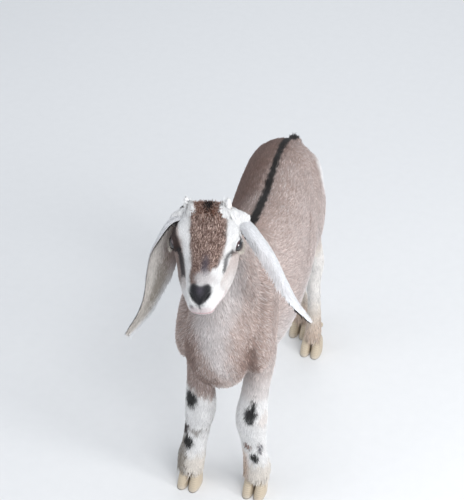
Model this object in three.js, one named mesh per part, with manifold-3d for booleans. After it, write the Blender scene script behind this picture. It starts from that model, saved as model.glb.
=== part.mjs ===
// Young Anglo-Nubian goat standing square, head raised and turned a little to its left.
// Millimetres, +Z up. The goat faces -Y and its left side is +X. The soles stand on z = 0.
// The body is first put together from rounded forms, then parted into its named pieces by
// thin cuts, so that neighbours face each other across a gap of 0.3 mm.

import * as THREE from "three";
import { mergeVertices } from "three/addons/utils/BufferGeometryUtils.js";
import Module from "manifold-3d";

const wasm = await Module();
wasm.setup();

// Driving sizes of the whole animal
const GAP = 0.3;
const SLIVER = 0.22;
const WITHERS_HEIGHT = 431;
const CROUP_HEIGHT = 426;
const BRISKET_HEIGHT = 221;
const ELBOW_HEIGHT = 258;
const KNEE_HEIGHT = 142;
const HOCK_HEIGHT = 160;
const FETLOCK_HEIGHT = 44;
// How far the spine swings to the left from the pin bones forward to the breast
const SPINE_SWAY = [-14, -14, -12, -4, 3, 6, 5, 2, 0, 0];
const CHEST_HALF_WIDTH = 50;
const BELLY_HALF_WIDTH = 60;
const EAR_THICKNESS = 2.4;
const HOOF_HEIGHT = 26;
const MOUTH_WIDTH = 0.9;
const MOUTH_DEPTH = 3;

// Where each leg stands and bends: x to the goat's left and y back
const FORE_LEFT = { sole: [37.5, 10], knee: [32, -2], elbow: [40, 16] };
const FORE_RIGHT = { sole: [-54, -4], knee: [-42, 2], elbow: [-43, 16] };
const HIND_LEFT = { sole: [27, 322], hock: [21, 331], stifle: [30, 226], hip: [19, 258] };
const HIND_RIGHT = { sole: [-3, 360], hock: [-12, 355], stifle: [-50, 238], hip: [-47, 262] };

// The head has a frame of its own, midway between the eyes, and faces its own -y
const HEAD_AT = [-2, -82, 485];
const HEAD_TURN = THREE.MathUtils.degToRad(13.5);
const HEAD_DIP = THREE.MathUtils.degToRad(16);
const HEAD_LEAN = THREE.MathUtils.degToRad(3);
const EYE_RADIUS = 11;
const EYE_AT = [28.5, 0, 1];
const EYE_OUTWARD = [0.9, -0.4, 0.16];
const LID_THICKNESS = 1.4;

// Spine of each ear from root to tip, and which way its cup opens at the root and at the tip
const LEFT_EAR = {
  spine: [[27, 34, 5], [46, 30, 7], [61, 19, -3], [77, 9, -28], [90, -3, -58], [103, -13, -89],
    [118, -21, -113]],
  opening: [[-0.55, -0.4, -0.6], [-0.8, -0.35, -0.3]],
  halfWidths: [14, 20, 21.5, 19.5, 15.5, 12, 6],
  curl: [2.2, 1.8, 1.45, 1.5, 1.5, 1.3, 0.9],
};
const RIGHT_EAR = {
  spine: [[-27, 34, 5], [-43, 27, 5], [-54, 14, -16], [-61, -2, -42], [-69, -18, -68], [-80, -35, -91],
    [-98, -52, -113]],
  opening: [[0.45, -0.85, 0.1], [0.4, -0.75, 0.45]],
  halfWidths: [14, 20, 22, 19.5, 13.5, 9, 4.5],
  curl: [2.2, 1.7, 1.15, 1.05, 1.1, 1.1, 0.9],
};

// Rails of the head from the nape forward to the nose: how far back each station lies, the
// heights of the top and bottom lines, and the half width and height of three lines between
const HEAD_RAILS = {
  back: [58, 38, 15, 0, -15, -32, -48, -62, -73, -80],
  top: [12, 24, 28, 24.5, 20, 15.5, 10.5, 5, -2, -8],
  browOut: [20, 24, 27, 27, 21, 17, 15, 13, 10.5, 8],
  brow: [4, 16, 19, 15, 13, 9, 5, 0, -6, -11],
  sideOut: [28, 33, 35, 34, 31, 26, 21, 17, 14, 12],
  side: [-14, -8, -4, -4, -8, -12, -14, -15, -17, -19],
  jawOut: [24, 28, 31, 33, 33, 30, 24.5, 18.5, 14, 11],
  jaw: [-36, -38, -38, -38, -36, -35, -34, -33, -33, -32],
  bottom: [-46, -50, -52, -51, -49, -47, -45.5, -44.5, -42.5, -38],
};
const NOSE_SLANT = 0.3;

// Soft swellings of the head: where, how wide and how high
const HEAD_SWELLINGS = [
  { at: [33, 3, 2], radius: 18, height: 8 },
  { at: [12, -77, -9], radius: 5.5, height: 1.6 },
  { at: [33, 31, -1], radius: 11, height: 6 },
  { at: [20, 34, 24], radius: 8, height: 4 },
];

const SIDE = new THREE.Vector3(1, 0, 0);

// Smooth value between the numbers of a list, read at a fraction t of its length
function along(list, t) {
  const spot = t * (list.length - 1);
  const i = Math.min(Math.floor(spot), list.length - 2);
  const f = spot - i;
  const b = list[i];
  const c = list[i + 1];
  const a = i > 0 ? list[i - 1] : 2 * b - c;
  const d = i + 2 < list.length ? list[i + 2] : 2 * c - b;
  const second = (2 * a - 5 * b + 4 * c - d) * f * f;
  const third = (3 * b - a - 3 * c + d) * f * f * f;
  return 0.5 * (2 * b + (c - a) * f + second + third);
}

// A closed surface as a solid that can be joined and cut
function solid(geometry) {
  const bare = geometry.clone();
  bare.deleteAttribute("normal");
  bare.deleteAttribute("uv");
  const merged = mergeVertices(bare, 1e-4);
  return new wasm.Manifold(new wasm.Mesh({
    numProp: 3,
    vertProperties: Float32Array.from(merged.attributes.position.array),
    triVerts: Uint32Array.from(merged.index.array),
  }));
}

function union(...solids) {
  return solids.reduce((all, one) => all.add(one));
}

// The largest closed surface of a solid
function largest(whole) {
  return whole.decompose().reduce((best, piece) => (piece.volume() > best.volume() ? piece : best));
}

// How full a rounded end is at a fraction t of the path, its cap taking up the share given
function fullness(t, cap) {
  const first = Math.min(t / cap[0], 1);
  const last = Math.min((1 - t) / cap[1], 1);
  return Math.sqrt(1 - (1 - first) ** 2) * Math.sqrt(1 - (1 - last) ** 2);
}

// A rounded form carried along a smooth path, made from a sphere whose axis follows the path.
// Each path point has a half width to the sides, and half depths above and below the path.
// Above is the top of a form that runs forward, and the front of one that runs down.
// square fills out the corners of the section, and pear widens its lower half.
function form({ path, wide, above, below = above, cap = [0.15, 0.15], square = 2, pear = 0,
  side = SIDE, round = 24, steps = 16, grow = 0 }) {
  const points = path.map((p) => new THREE.Vector3(...p));
  const curve = new THREE.CatmullRomCurve3(points, false, "catmullrom", 0.5);
  const geometry = new THREE.SphereGeometry(1, round, steps);
  const place = geometry.attributes.position;
  const point = new THREE.Vector3();
  for (let i = 0; i < place.count; i += 1) {
    const row = Math.floor(i / (round + 1)) / steps;
    const t = 0.5 * row + 0.25 * (1 - Math.cos(Math.PI * row));
    point.fromBufferAttribute(place, i);
    const angle = Math.atan2(point.z, point.x);
    const c = Math.cos(angle);
    const s = Math.sin(angle);
    const tangent = curve.getTangent(t);
    const across = side.clone().addScaledVector(tangent, -side.dot(tangent)).normalize();
    const up = new THREE.Vector3().crossVectors(tangent, across);
    const full = row === 0 || row === 1 ? 0 : fullness(t, cap);
    const swell = full * (Math.abs(c) ** square + Math.abs(s) ** square) ** (-1 / square);
    const halfWidth = (along(wide, t) + grow) * (1 - pear * s);
    const halfDepth = along(s > 0 ? above : below, t) + grow;
    point.copy(curve.getPoint(t));
    point.addScaledVector(across, swell * c * halfWidth);
    point.addScaledVector(up, swell * s * halfDepth);
    point.addScaledVector(tangent, (t < 0.5 ? -grow : grow) * (1 - full));
    place.setXYZ(i, point.x, point.y, point.z);
  }
  return solid(geometry);
}

// A ball stretched to three half sizes
function ball(at, halfSizes, grow = 0, round = 16, steps = 10) {
  const geometry = new THREE.SphereGeometry(1, round, steps);
  geometry.scale(...halfSizes.map((r) => r + grow));
  geometry.translate(...at);
  return solid(geometry);
}

// A turned box, used to part the body
function block(at, sizes, turn = [0, 0, 0], grow = 0) {
  const geometry = new THREE.BoxGeometry(...sizes.map((s) => s + 2 * grow));
  geometry.applyMatrix4(new THREE.Matrix4().makeRotationFromEuler(new THREE.Euler(...turn)));
  geometry.translate(...at);
  return solid(geometry);
}

const flip = (points) => points.map(([x, y, z]) => [-x, y, z]);

// Trunk: one barrel from the pin bones forward to the breast
function trunk(grow = 0) {
  const top = [392, CROUP_HEIGHT - 10, CROUP_HEIGHT + 2, 426, 421, WITHERS_HEIGHT - 4,
    WITHERS_HEIGHT, 412, 374, 336];
  const bottom = [344, 300, 250, 214, 204, 206, BRISKET_HEIGHT - 4,
    BRISKET_HEIGHT, BRISKET_HEIGHT + 1, 246];
  const back = [312, 274, 234, 186, 134, 84, 36, -16, -60, -93];
  const middle = back.map((y, i) => [SPINE_SWAY[i], y, 0.56 * top[i] + 0.44 * bottom[i]]);
  return form({
    path: middle,
    wide: [30, 47, 54, BELLY_HALF_WIDTH, BELLY_HALF_WIDTH, 60, CHEST_HALF_WIDTH, 46, 40, 27],
    above: middle.map((m, i) => top[i] - m[2]),
    below: middle.map((m, i) => m[2] - bottom[i]),
    cap: [0.07, 0.1],
    square: 2.25,
    pear: 0.15,
    round: 28,
    steps: 24,
    grow,
  });
}

// Shoulder: from the top of the blade down and forward to the point of shoulder, then back
// down the upper arm to the elbow
function shoulder(mirror, grow = 0) {
  const path = [[26, 42, 404], [39, 24, 368], [45, -2, 328], [46, -20, 288], [42, -2, 258]];
  return form({
    path: mirror ? flip(path) : path,
    wide: [12, 16, 19, 19, 18],
    above: [26, 34, 36, 32, 26],
    below: [26, 36, 40, 38, 30],
    cap: [0.3, 0.25],
    steps: 14,
    round: 20,
    grow,
  });
}

// Thigh: broad above, from the hip down to the stifle and back to the gaskin
function thigh({ hip, stifle }) {
  const sign = Math.sign(stifle[0]);
  return form({
    path: [[hip[0] - sign * 6, hip[1] + 2, 400], [hip[0] + sign * 2, hip[1], 366],
      [stifle[0], stifle[1] + 24, 322], [stifle[0] - sign * 1, stifle[1] + 30, 278],
      [stifle[0] - sign * 4, stifle[1] + 52, 236]],
    wide: [12, 17, 19, 20, 15],
    above: [32, 44, 46, 40, 24],
    below: [36, 50, 50, 44, 28],
    cap: [0.3, 0.25],
    square: 2.2,
    round: 20,
    steps: 14,
  });
}

// Gaskin, hock, cannon and pastern of a hind leg
function hindShank({ sole, stifle, hock }) {
  const sign = Math.sign(stifle[0]);
  const gaskinTop = [stifle[0] - sign * 4, stifle[1] + 30, 286];
  const gaskin = [
    (gaskinTop[0] + hock[0]) / 2, gaskinTop[1] * 0.5 + hock[1] * 0.5, 0.5 * (gaskinTop[2] + HOCK_HEIGHT)];
  const leg = form({
    path: [gaskinTop, gaskin, [hock[0], hock[1], HOCK_HEIGHT + 2], [hock[0], hock[1] - 3, 126],
      [hock[0] * 0.5 + sole[0] * 0.5, hock[1] - 4, 90], [sole[0], sole[1] - 2, FETLOCK_HEIGHT],
      [sole[0], sole[1] - 8, HOOF_HEIGHT - 2]],
    wide: [20, 15, 14, 11.5, 10.5, 13, 13],
    above: [26, 18, 13, 12, 11, 12, 12],
    below: [30, 20, 19, 14, 12, 14, 13],
    cap: [0.1, 0.06],
    round: 18,
    steps: 20,
  });
  const heel = form({
    path: [[hock[0], hock[1] - 18, HOCK_HEIGHT + 42], [hock[0], hock[1] + 6, HOCK_HEIGHT + 14],
      [hock[0], hock[1] + 4, HOCK_HEIGHT - 14]],
    wide: [5, 9, 9],
    above: [6, 12, 12],
    cap: [0.3, 0.3],
    round: 16,
    steps: 10,
  });
  return union(leg, heel);
}

// Forearm, knee, cannon and pastern of a foreleg
function foreleg({ sole, knee, elbow }) {
  const drop = (f) => [knee[0] + (sole[0] - knee[0]) * f, knee[1] + (sole[1] - knee[1]) * f];
  return form({
    path: [[elbow[0], elbow[1] - 14, ELBOW_HEIGHT + 34], [elbow[0], elbow[1] - 8, ELBOW_HEIGHT - 6],
      [elbow[0] * 0.5 + knee[0] * 0.5, elbow[1] * 0.4 + knee[1] * 0.6 - 4, 200],
      [...knee, KNEE_HEIGHT + 2], [...drop(0.3), 106], [...drop(0.65), 74],
      [...drop(1), FETLOCK_HEIGHT], [sole[0], sole[1] - 6, HOOF_HEIGHT - 2]],
    wide: [19, 20, 18.5, 22.5, 19, 18, 20, 18],
    above: [26, 24, 18, 19, 15, 15, 17, 15],
    below: [26, 28, 19, 17, 16, 16, 18, 16],
    cap: [0.08, 0.05],
    round: 18,
    steps: 22,
  });
}

// One of a foot's two claws, a blunt hoof with a flat sole
function claw(sole, offset, grow = 0) {
  const x = sole[0] + offset;
  return form({
    path: [[sole[0] + offset * 0.8, sole[1] + 1, HOOF_HEIGHT + 5], [x, sole[1] - 2, 16],
      [x, sole[1] - 6, 2], [x, sole[1] - 9, -12]],
    wide: [6, 7.2, 8, 8],
    above: [8, 13, 17, 18],
    below: [9, 13, 15, 15],
    cap: [0.22, 0.1],
    square: 2.4,
    round: 12,
    steps: 9,
    grow,
  });
}

// A dew claw at the back of the fetlock
function dewclaw(sole, offset, grow = 0) {
  const x = sole[0] + offset;
  return form({
    path: [[x, sole[1] + 4, FETLOCK_HEIGHT + 3], [x, sole[1] + 13, FETLOCK_HEIGHT - 3],
      [x, sole[1] + 17, FETLOCK_HEIGHT - 11]],
    wide: [4, 4.2, 3],
    above: [4, 4, 2.6],
    cap: [0.3, 0.35],
    round: 8,
    steps: 6,
    grow,
  });
}

// Neck: carried steeply up from the shoulders to the back of the skull
function neck(grow = 0) {
  return form({
    path: [[0, 2, 330], [0, -12, 374], [-3, -20, 416], [-6, -25, 452], [-9, -34, 486]],
    wide: [44, 44, 37, 32, 29],
    above: [66, 60, 44, 32, 24],
    below: [62, 54, 40, 28, 24],
    cap: [0.2, 0.2],
    pear: 0.06,
    steps: 18,
    grow,
  });
}

// Tail: short, flat and hanging
function tail() {
  return form({
    path: [[-14, 288, 392], [-14, 313, 383], [-14, 327, 356], [-13, 329, 320]],
    wide: [10, 11, 10, 6],
    above: [7, 7, 6, 4],
    below: [7, 7, 6, 4],
    cap: [0.2, 0.25],
    round: 12,
    steps: 12,
  });
}

// Skull, cheeks and muzzle in the head's own frame: one skin drawn over the head's rails
function skull(grow = 0, round = 34, steps = 30) {
  const geometry = new THREE.SphereGeometry(1, round, steps);
  const place = geometry.attributes.position;
  const swellings = HEAD_SWELLINGS.flatMap(({ at, radius, height }) => [1, -1].map((sign) => (
    { at: new THREE.Vector3(sign * at[0], at[1], at[2]), radius, height })));
  for (let row = 0; row <= steps; row += 1) {
    const t = 0.5 * (row / steps) + 0.25 * (1 - Math.cos(Math.PI * (row / steps)));
    const rail = (name) => along(HEAD_RAILS[name], t);
    const middle = 0.5 * (rail("top") + rail("bottom"));
    const half = [[0, "top"], ["browOut", "brow"], ["sideOut", "side"], ["jawOut", "jaw"], [0, "bottom"]];
    const flank = half.map(([out, height]) => new THREE.Vector3(out ? rail(out) : 0, 0, rail(height)));
    const other = flank.slice(1, -1).reverse().map((p) => new THREE.Vector3(-p.x, 0, p.z));
    const ring = new THREE.CatmullRomCurve3([...flank, ...other], true);
    const full = fullness(t, [0.1, 0.09]);
    const reach = row === 0 ? grow : 0;
    for (let column = 0; column <= round; column += 1) {
      const point = ring.getPoint(column === round ? 0 : column / round);
      const out = new THREE.Vector3(point.x, 0, point.z - middle).normalize();
      point.x *= full;
      point.z = middle + (point.z - middle) * full;
      const slant = NOSE_SLANT * Math.max(0, 3 * t - 2) * (point.z - middle);
      point.y = rail("back") - slant + reach - (row === steps ? grow : 0);
      if (row > 0 && row < steps) {
        const swell = swellings.reduce((sum, { at, radius, height }) => (
          sum + height * Math.exp(-point.distanceToSquared(at) / radius ** 2)), grow);
        point.addScaledVector(out, swell);
      }
      place.setXYZ(row * (round + 1) + column, point.x, point.y, point.z);
    }
  }
  return solid(geometry);
}

// The line of the mouth: a thin curved sheet that only reaches a little way under the lips
function mouthLine() {
  const [front, corner] = [[-90, -28.5], [-42, -27]];
  const line = new THREE.Shape();
  line.moveTo(front[0], front[1]);
  line.quadraticCurveTo(-62, -32, corner[0], corner[1]);
  line.lineTo(corner[0], corner[1] + MOUTH_WIDTH);
  line.quadraticCurveTo(-62, -32 + MOUTH_WIDTH, front[0], front[1] + MOUTH_WIDTH);
  line.closePath();
  const sheet = new THREE.ExtrudeGeometry(line, { depth: 60, bevelEnabled: false, curveSegments: 5 });
  const turn = new THREE.Matrix4().makeBasis(
    new THREE.Vector3(0, 1, 0), new THREE.Vector3(0, 0, 1), new THREE.Vector3(1, 0, 0));
  sheet.translate(0, 0, -30);
  sheet.applyMatrix4(turn);
  return solid(sheet);
}

// A nostril: a slit that starts beside the middle of the nose and curls up and outward
function nostril(sign) {
  return form({
    path: [[sign * 4, -81, -13], [sign * 7, -78, -9], [sign * 10.5, -72, -6], [sign * 13, -65, -6]],
    wide: [1.6, 2.4, 2.2, 1.2],
    above: [3, 5, 5, 3],
    cap: [0.25, 0.25],
    side: new THREE.Vector3(0, 0.2, 1),
    round: 12,
    steps: 8,
  });
}

// A horn bud under the hair of the poll
function hornBud(sign) {
  return form({
    path: [[sign * 20, 35, 14], [sign * 23, 36, 24], [sign * 25, 37, 32]],
    wide: [6, 5.5, 4],
    above: [6, 5.5, 4],
    cap: [0.3, 0.5],
    round: 12,
    steps: 6,
  });
}

// A hanging ear: a sheet that follows a spine from root to tip and curls into a cup
function ear({ spine, opening, halfWidths, curl }) {
  const curve = new THREE.CatmullRomCurve3(spine.map((p) => new THREE.Vector3(...p)));
  const across = 10;
  const length = 16;
  const geometry = new THREE.BoxGeometry(2, 1, 1, across, length, 1);
  const place = geometry.attributes.position;
  for (let i = 0; i < place.count; i += 1) {
    const t = 0.5 - place.getY(i);
    const a = place.getX(i);
    const tangent = curve.getTangentAt(t);
    const toward = new THREE.Vector3(...opening[0]).lerp(new THREE.Vector3(...opening[1]), t);
    const normal = toward.addScaledVector(tangent, -toward.dot(tangent)).normalize();
    const sideways = new THREE.Vector3().crossVectors(normal, tangent);
    const bend = along(curl, t);
    const radius = along(halfWidths, t) / bend;
    const thick = EAR_THICKNESS * (1 - 0.4 * t) * (place.getZ(i) + 0.5) * (1 - 0.5 * a * a);
    const reach = radius - thick;
    const point = curve.getPointAt(t);
    point.addScaledVector(sideways, reach * Math.sin(a * bend));
    point.addScaledVector(normal, radius - reach * Math.cos(a * bend));
    place.setXYZ(i, point.x, point.y, point.z);
  }
  return solid(geometry);
}

// The opening between the lids: a cone with an almond section, from the eye's middle outward
function eyeOpening(sign) {
  const out = new THREE.Vector3(sign * EYE_OUTWARD[0], EYE_OUTWARD[1], EYE_OUTWARD[2]).normalize();
  const middle = new THREE.Vector3(sign * EYE_AT[0], EYE_AT[1], EYE_AT[2]);
  const tip = middle.clone().addScaledVector(out, EYE_RADIUS * 2);
  return form({
    path: [middle.toArray(), tip.toArray()],
    wide: [1, 18],
    above: [1, 12],
    cap: [0.05, 0.05],
    square: 1.6,
    side: new THREE.Vector3(sign * 0.4, 0.85, 0.3),
    round: 24,
    steps: 6,
  });
}

// Plain colours of the coat, horn and eyes
const MATERIALS = {
  fawn: new THREE.MeshStandardMaterial({ color: 0xa08878, roughness: 0.9, metalness: 0 }),
  white: new THREE.MeshStandardMaterial({ color: 0xdfe0e0, roughness: 0.9, metalness: 0 }),
  cream: new THREE.MeshStandardMaterial({ color: 0xd8cbb9, roughness: 0.9, metalness: 0 }),
  brown: new THREE.MeshStandardMaterial({ color: 0x6f5848, roughness: 0.9, metalness: 0 }),
  hoof: new THREE.MeshStandardMaterial({ color: 0x5c5047, roughness: 0.5, metalness: 0 }),
  eye: new THREE.MeshStandardMaterial({ color: 0x2a1f26, roughness: 0.08, metalness: 0 }),
};

function mesh(name, whole, material) {
  const { vertProperties, triVerts } = largest(largest(whole).simplify(SLIVER)).getMesh();
  const geometry = new THREE.BufferGeometry();
  geometry.setAttribute("position", new THREE.Float32BufferAttribute(vertProperties, 3));
  geometry.setIndex(new THREE.Uint32BufferAttribute(triVerts, 1));
  geometry.computeVertexNormals();
  const made = new THREE.Mesh(geometry, MATERIALS[material].clone());
  made.name = name;
  return made;
}

// Takes the zone's share out of the body and leaves the rest a gap away from it
const parted = { body: null };
function take(...zone) {
  const piece = parted.body.intersect(block(...zone));
  parted.body = parted.body.subtract(block(zone[0], zone[1], zone[2], GAP));
  return piece;
}

const goat = new THREE.Group();
goat.name = "goat";

const head = new THREE.Group();
head.position.set(...HEAD_AT);
head.rotation.set(HEAD_DIP, -HEAD_LEAN, HEAD_TURN, "ZXY");
head.updateMatrixWorld(true);
const toHead = head.matrixWorld.clone().invert();

const legs = [
  ["fore", "left", FORE_LEFT], ["fore", "right", FORE_RIGHT],
  ["hind", "left", HIND_LEFT], ["hind", "right", HIND_RIGHT],
];

// The head's share of the body: all that lies before a plane from the poll to the throat
function headShare(grow = 0) {
  return block([0, -38, 23], [200, 160, 160], [-0.496, 0, 0], grow);
}

const inWorld = (whole) => whole.transform(head.matrixWorld.elements);
const inHead = (whole) => whole.transform(toHead.elements);

// Whole body without ears, tail, hooves and dew claws
const limbs = legs.map(([end, , place]) => (
  end === "fore" ? foreleg(place) : union(thigh(place), hindShank(place))));
parted.body = union(trunk(), shoulder(false), shoulder(true), neck(), inWorld(skull()), ...limbs);
const headFlesh = inHead(parted.body).intersect(headShare());
parted.body = parted.body.subtract(inWorld(headShare(GAP)));

// Hooves and dew claws
for (const [end, flank, { sole }] of legs) {
  const above = block([sole[0], sole[1], 60], [100, 100, 120]);
  for (const [where, offset] of [["outer", 8.4], ["inner", -8.4]]) {
    const out = flank === "left" ? offset : -offset;
    const hoof = claw(sole, out).intersect(above);
    parted.body = parted.body.subtract(claw(sole, out, GAP));
    goat.add(mesh(`${end}_hoof_${where}_${flank}`, hoof, "hoof"));
    const spur = dewclaw(sole, out * 0.85);
    parted.body = parted.body.subtract(dewclaw(sole, out * 0.85, GAP));
    goat.add(mesh(`${end}_dewclaw_${where}_${flank}`, spur, "hoof"));
  }
}

// Lower legs first, then upper legs, then the neck; what stays is the torso
for (const [end, flank, place] of legs) {
  const joint = end === "fore" ? place.knee : place.hock;
  const height = end === "fore" ? KNEE_HEIGHT + 24 : HOCK_HEIGHT + 34;
  const shank = take([joint[0], joint[1], height / 2 - 1], [56, 110, height + 2]);
  goat.add(mesh(`${end}leg_lower_${flank}`, shank, end === "fore" ? "white" : "cream"));
}
for (const [end, flank, place] of legs) {
  const sign = flank === "left" ? 1 : -1;
  if (end === "fore") {
    const upper = take([sign * 54, 8, 210], [60, 120, 110], [0, sign * -0.32, 0]);
    goat.add(mesh(`foreleg_upper_${flank}`, upper, "fawn"));
  } else {
    const upper = take([sign * 47, place.stifle[1] + 50, 226], [92, 180, 140], [-0.3, 0, 0]);
    goat.add(mesh(`hindleg_upper_${flank}`, upper, "fawn"));
  }
}
goat.add(mesh("neck", take([0, -70, 462], [160, 220, 140], [0.62, 0, 0]), "brown"));
goat.add(mesh("torso", parted.body, "fawn"));
goat.add(mesh("tail", tail().subtract(trunk(GAP)), "brown"));

// The head with its eyes, horn buds and ears
const EARS = { left: LEFT_EAR, right: RIGHT_EAR };
let face = headFlesh.subtract(mouthLine().subtract(skull(-MOUTH_DEPTH)));
face = face.subtract(nostril(1)).subtract(nostril(-1));
for (const [flank, sign] of [["left", 1], ["right", -1]]) {
  const socket = [sign * EYE_AT[0], EYE_AT[1], EYE_AT[2]];
  face = union(face, ball(socket, [EYE_RADIUS, EYE_RADIUS, EYE_RADIUS], LID_THICKNESS + GAP));
  face = face.subtract(eyeOpening(sign));
  face = face.subtract(ball(socket, [EYE_RADIUS, EYE_RADIUS, EYE_RADIUS], GAP));
  head.add(mesh(`eye_${flank}`, ball(socket, [EYE_RADIUS, EYE_RADIUS, EYE_RADIUS]), "eye"));
  head.add(mesh(`horn_bud_${flank}`, hornBud(sign).subtract(skull(GAP)), "brown"));
  head.add(mesh(`ear_${flank}`, ear(EARS[flank]).subtract(skull(GAP)), "white"));
}
head.add(mesh("head", face, "white"));
goat.add(head);

const box = new THREE.Box3().setFromObject(goat, true);
goat.position.set(-(box.min.x + box.max.x) / 2, -(box.min.y + box.max.y) / 2, 0);

export default goat;
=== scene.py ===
import math

import bmesh
import bpy
import numpy as np
from bpy.props import FloatProperty, FloatVectorProperty, IntProperty, PointerProperty
from mathutils import Matrix


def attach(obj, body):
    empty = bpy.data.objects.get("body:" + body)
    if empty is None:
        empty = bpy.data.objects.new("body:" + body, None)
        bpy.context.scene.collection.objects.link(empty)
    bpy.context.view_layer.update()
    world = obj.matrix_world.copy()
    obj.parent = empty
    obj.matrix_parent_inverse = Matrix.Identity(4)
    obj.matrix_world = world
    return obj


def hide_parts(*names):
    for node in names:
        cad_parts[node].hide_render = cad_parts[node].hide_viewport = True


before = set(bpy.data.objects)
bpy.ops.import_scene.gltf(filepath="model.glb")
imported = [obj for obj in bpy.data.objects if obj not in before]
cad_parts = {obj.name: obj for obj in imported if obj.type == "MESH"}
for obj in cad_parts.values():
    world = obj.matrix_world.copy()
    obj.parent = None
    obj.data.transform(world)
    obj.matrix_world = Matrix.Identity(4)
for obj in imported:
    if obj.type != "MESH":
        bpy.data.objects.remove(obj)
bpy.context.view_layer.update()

bl_info = {
    "name": "Young Nubian goat",
    "version": (1, 0, 0),
    "blender": (4, 5, 0),
    "location": "View3D > Sidebar > Goat",
    "description": "Dresses the goat's solids with skin, coat, eyes and hooves, and sets up a studio",
    "category": "Object",
}

MM = 0.001
# The part's own millimetres, before its box is centred, are moved by this much
SHIFT = np.array([-13.8677, -110.9088, 0.0])

# Driving sizes of the animal, in millimetres, the same as those of its solids, but for the eyes, which
# stand 3 mm further out
WITHERS = 431
CROUP = 426
BRISKET = 221
ELBOW = 258
KNEE = 142
HOCK = 160
FETLOCK = 44
HOOF = 26
# How far the trunk's middle stands to the side, from the rump to the breast
SWAY = [-14, -14, -12, -4, 3, 6, 5, 2, 0, 0]
LEGS = {
    "fore_left": {"sole": (37.5, 10), "knee": (32, -2), "elbow": (40, 16)},
    "fore_right": {"sole": (-54, -4), "knee": (-42, 2), "elbow": (-43, 16)},
    "hind_left": {"sole": (27, 322), "hock": (21, 331), "stifle": (30, 226), "hip": (19, 258)},
    "hind_right": {"sole": (-3, 360), "hock": (-12, 355), "stifle": (-50, 238), "hip": (-47, 262)},
}
HEAD_AT = np.array([-2.0, -82.0, 485.0])
HEAD_TURN, HEAD_DIP, HEAD_LEAN = math.radians(13.5), math.radians(16), math.radians(3)
EYE_RADIUS = 11.0
EYE_AT = np.array([31.5, -0.5, 1.0])
EYE_OUTWARD = np.array([0.84, -0.42, 0.34])
# The lids' opening, in radians from the eye's middle: half its width, and its height above and below
LID_WIDTH, LID_ABOVE, LID_BELOW = 0.66, 0.60, 0.52
# The power of its edge, the rise of its arch, and how far the lids' rim stands off the ball in millimetres
LID_POWER, LID_ARCH, LID_PROUD = 1.8, 0.08, 1.3
# How far each face of an ear's sheet is drawn in, and its thickness at the root, in millimetres
EAR_INSET, EAR_THICKNESS = 0.12, 2.4
# How far each claw stands to the side of its leg's middle, in millimetres
CLAW_OFFSET = 8.4
# Each ear's middle line in the head's axes, the way its cup opens at root and tip, half widths and bend
EARS = {
    "left": {
        "spine": [(27, 34, 5), (46, 30, 7), (61, 19, -3), (77, 9, -28), (90, -3, -58), (103, -13, -89),
                  (118, -21, -113)],
        "opening": [(-0.55, -0.4, -0.6), (-0.8, -0.35, -0.3)],
        "half_widths": [14, 20, 21.5, 19.5, 15.5, 12, 6],
        "curl": [2.2, 1.8, 1.45, 1.5, 1.5, 1.3, 0.9],
    },
    "right": {
        "spine": [(-27, 34, 5), (-43, 27, 5), (-54, 14, -16), (-61, -2, -42), (-69, -18, -68),
                  (-80, -35, -91), (-98, -52, -113)],
        "opening": [(0.45, -0.85, 0.1), (0.4, -0.75, 0.45)],
        "half_widths": [14, 20, 22, 19.5, 13.5, 9, 4.5],
        "curl": [2.2, 1.7, 1.15, 1.05, 1.1, 1.1, 0.9],
    },
}
# The head at ten stations from nape to lips: how far back each is, then heights and, with out, half widths
RAILS = {
    "back": [58, 38, 15, 0, -15, -32, -48, -62, -73, -80],
    "top": [12, 24, 28, 24.5, 20, 15.5, 10.5, 5, -2, -8],
    "brow_out": [20, 24, 27, 27, 21, 17, 15, 13, 10.5, 8],
    "brow": [4, 16, 19, 15, 13, 9, 5, 0, -6, -11],
    "side_out": [28, 33, 35, 34, 31, 26, 21, 17, 14, 12],
    "side": [-14, -8, -4, -4, -8, -12, -14, -15, -17, -19],
    "jaw_out": [24, 28, 31, 33, 33, 30, 24.5, 18.5, 14, 11],
    "jaw": [-36, -38, -38, -38, -36, -35, -34, -33, -33, -32],
    "bottom": [-46, -50, -52, -51, -49, -47, -45.5, -44.5, -42.5, -38],
}

# How far a tuft's root sits under the skin, in millimetres, and the size of its patch on the bake map
ROOT_DEPTH = 0.35
BAKE_PATCH = 0.003
# Lashes of one eye, the share of the poll's tufts between the horn buds, and of the others that root on one
LASHES = 46
POLL_BETWEEN, POLL_ON_BUD = 0.35, 0.4

# The camera in the part's millimetres, and its heading, dip and lean in degrees
CAMERA_AT = (445.0, -1295.0, 1457.0)
CAMERA_HEADING, CAMERA_DIP, CAMERA_LEAN = 18.9, 37.2, 0.5
SKY_COLOUR, SKY_STRENGTH = (0.86, 0.92, 1.0, 1), 0.62
# Half the floor's edge in metres, and the lines of its grid each way
FLOOR_HALF, FLOOR_LINES = 12.0, 9
# Name, place and edge of each light in metres, and which power of the studio's settings it has
LIGHTS = [("key", (1.2, -1.2, 1.9), 1.3, "key"), ("side", (1.25, -0.27, 0.62), 0.4, "fill"),
          ("fill", (-1.6, -1.0, 1.2), 1.6, "fill"), ("back", (-0.2, 1.7, 1.6), 1.4, "fill")]


def cubic(a, b, c, d, f):
    """A Catmull-Rom curve at the fraction f between knots b and c, with a and d beside them."""
    return 0.5 * (2 * b + (c - a) * f + (2 * a - 5 * b + 4 * c - d) * f**2 + (3 * b - a - 3 * c + d) * f**3)


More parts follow.
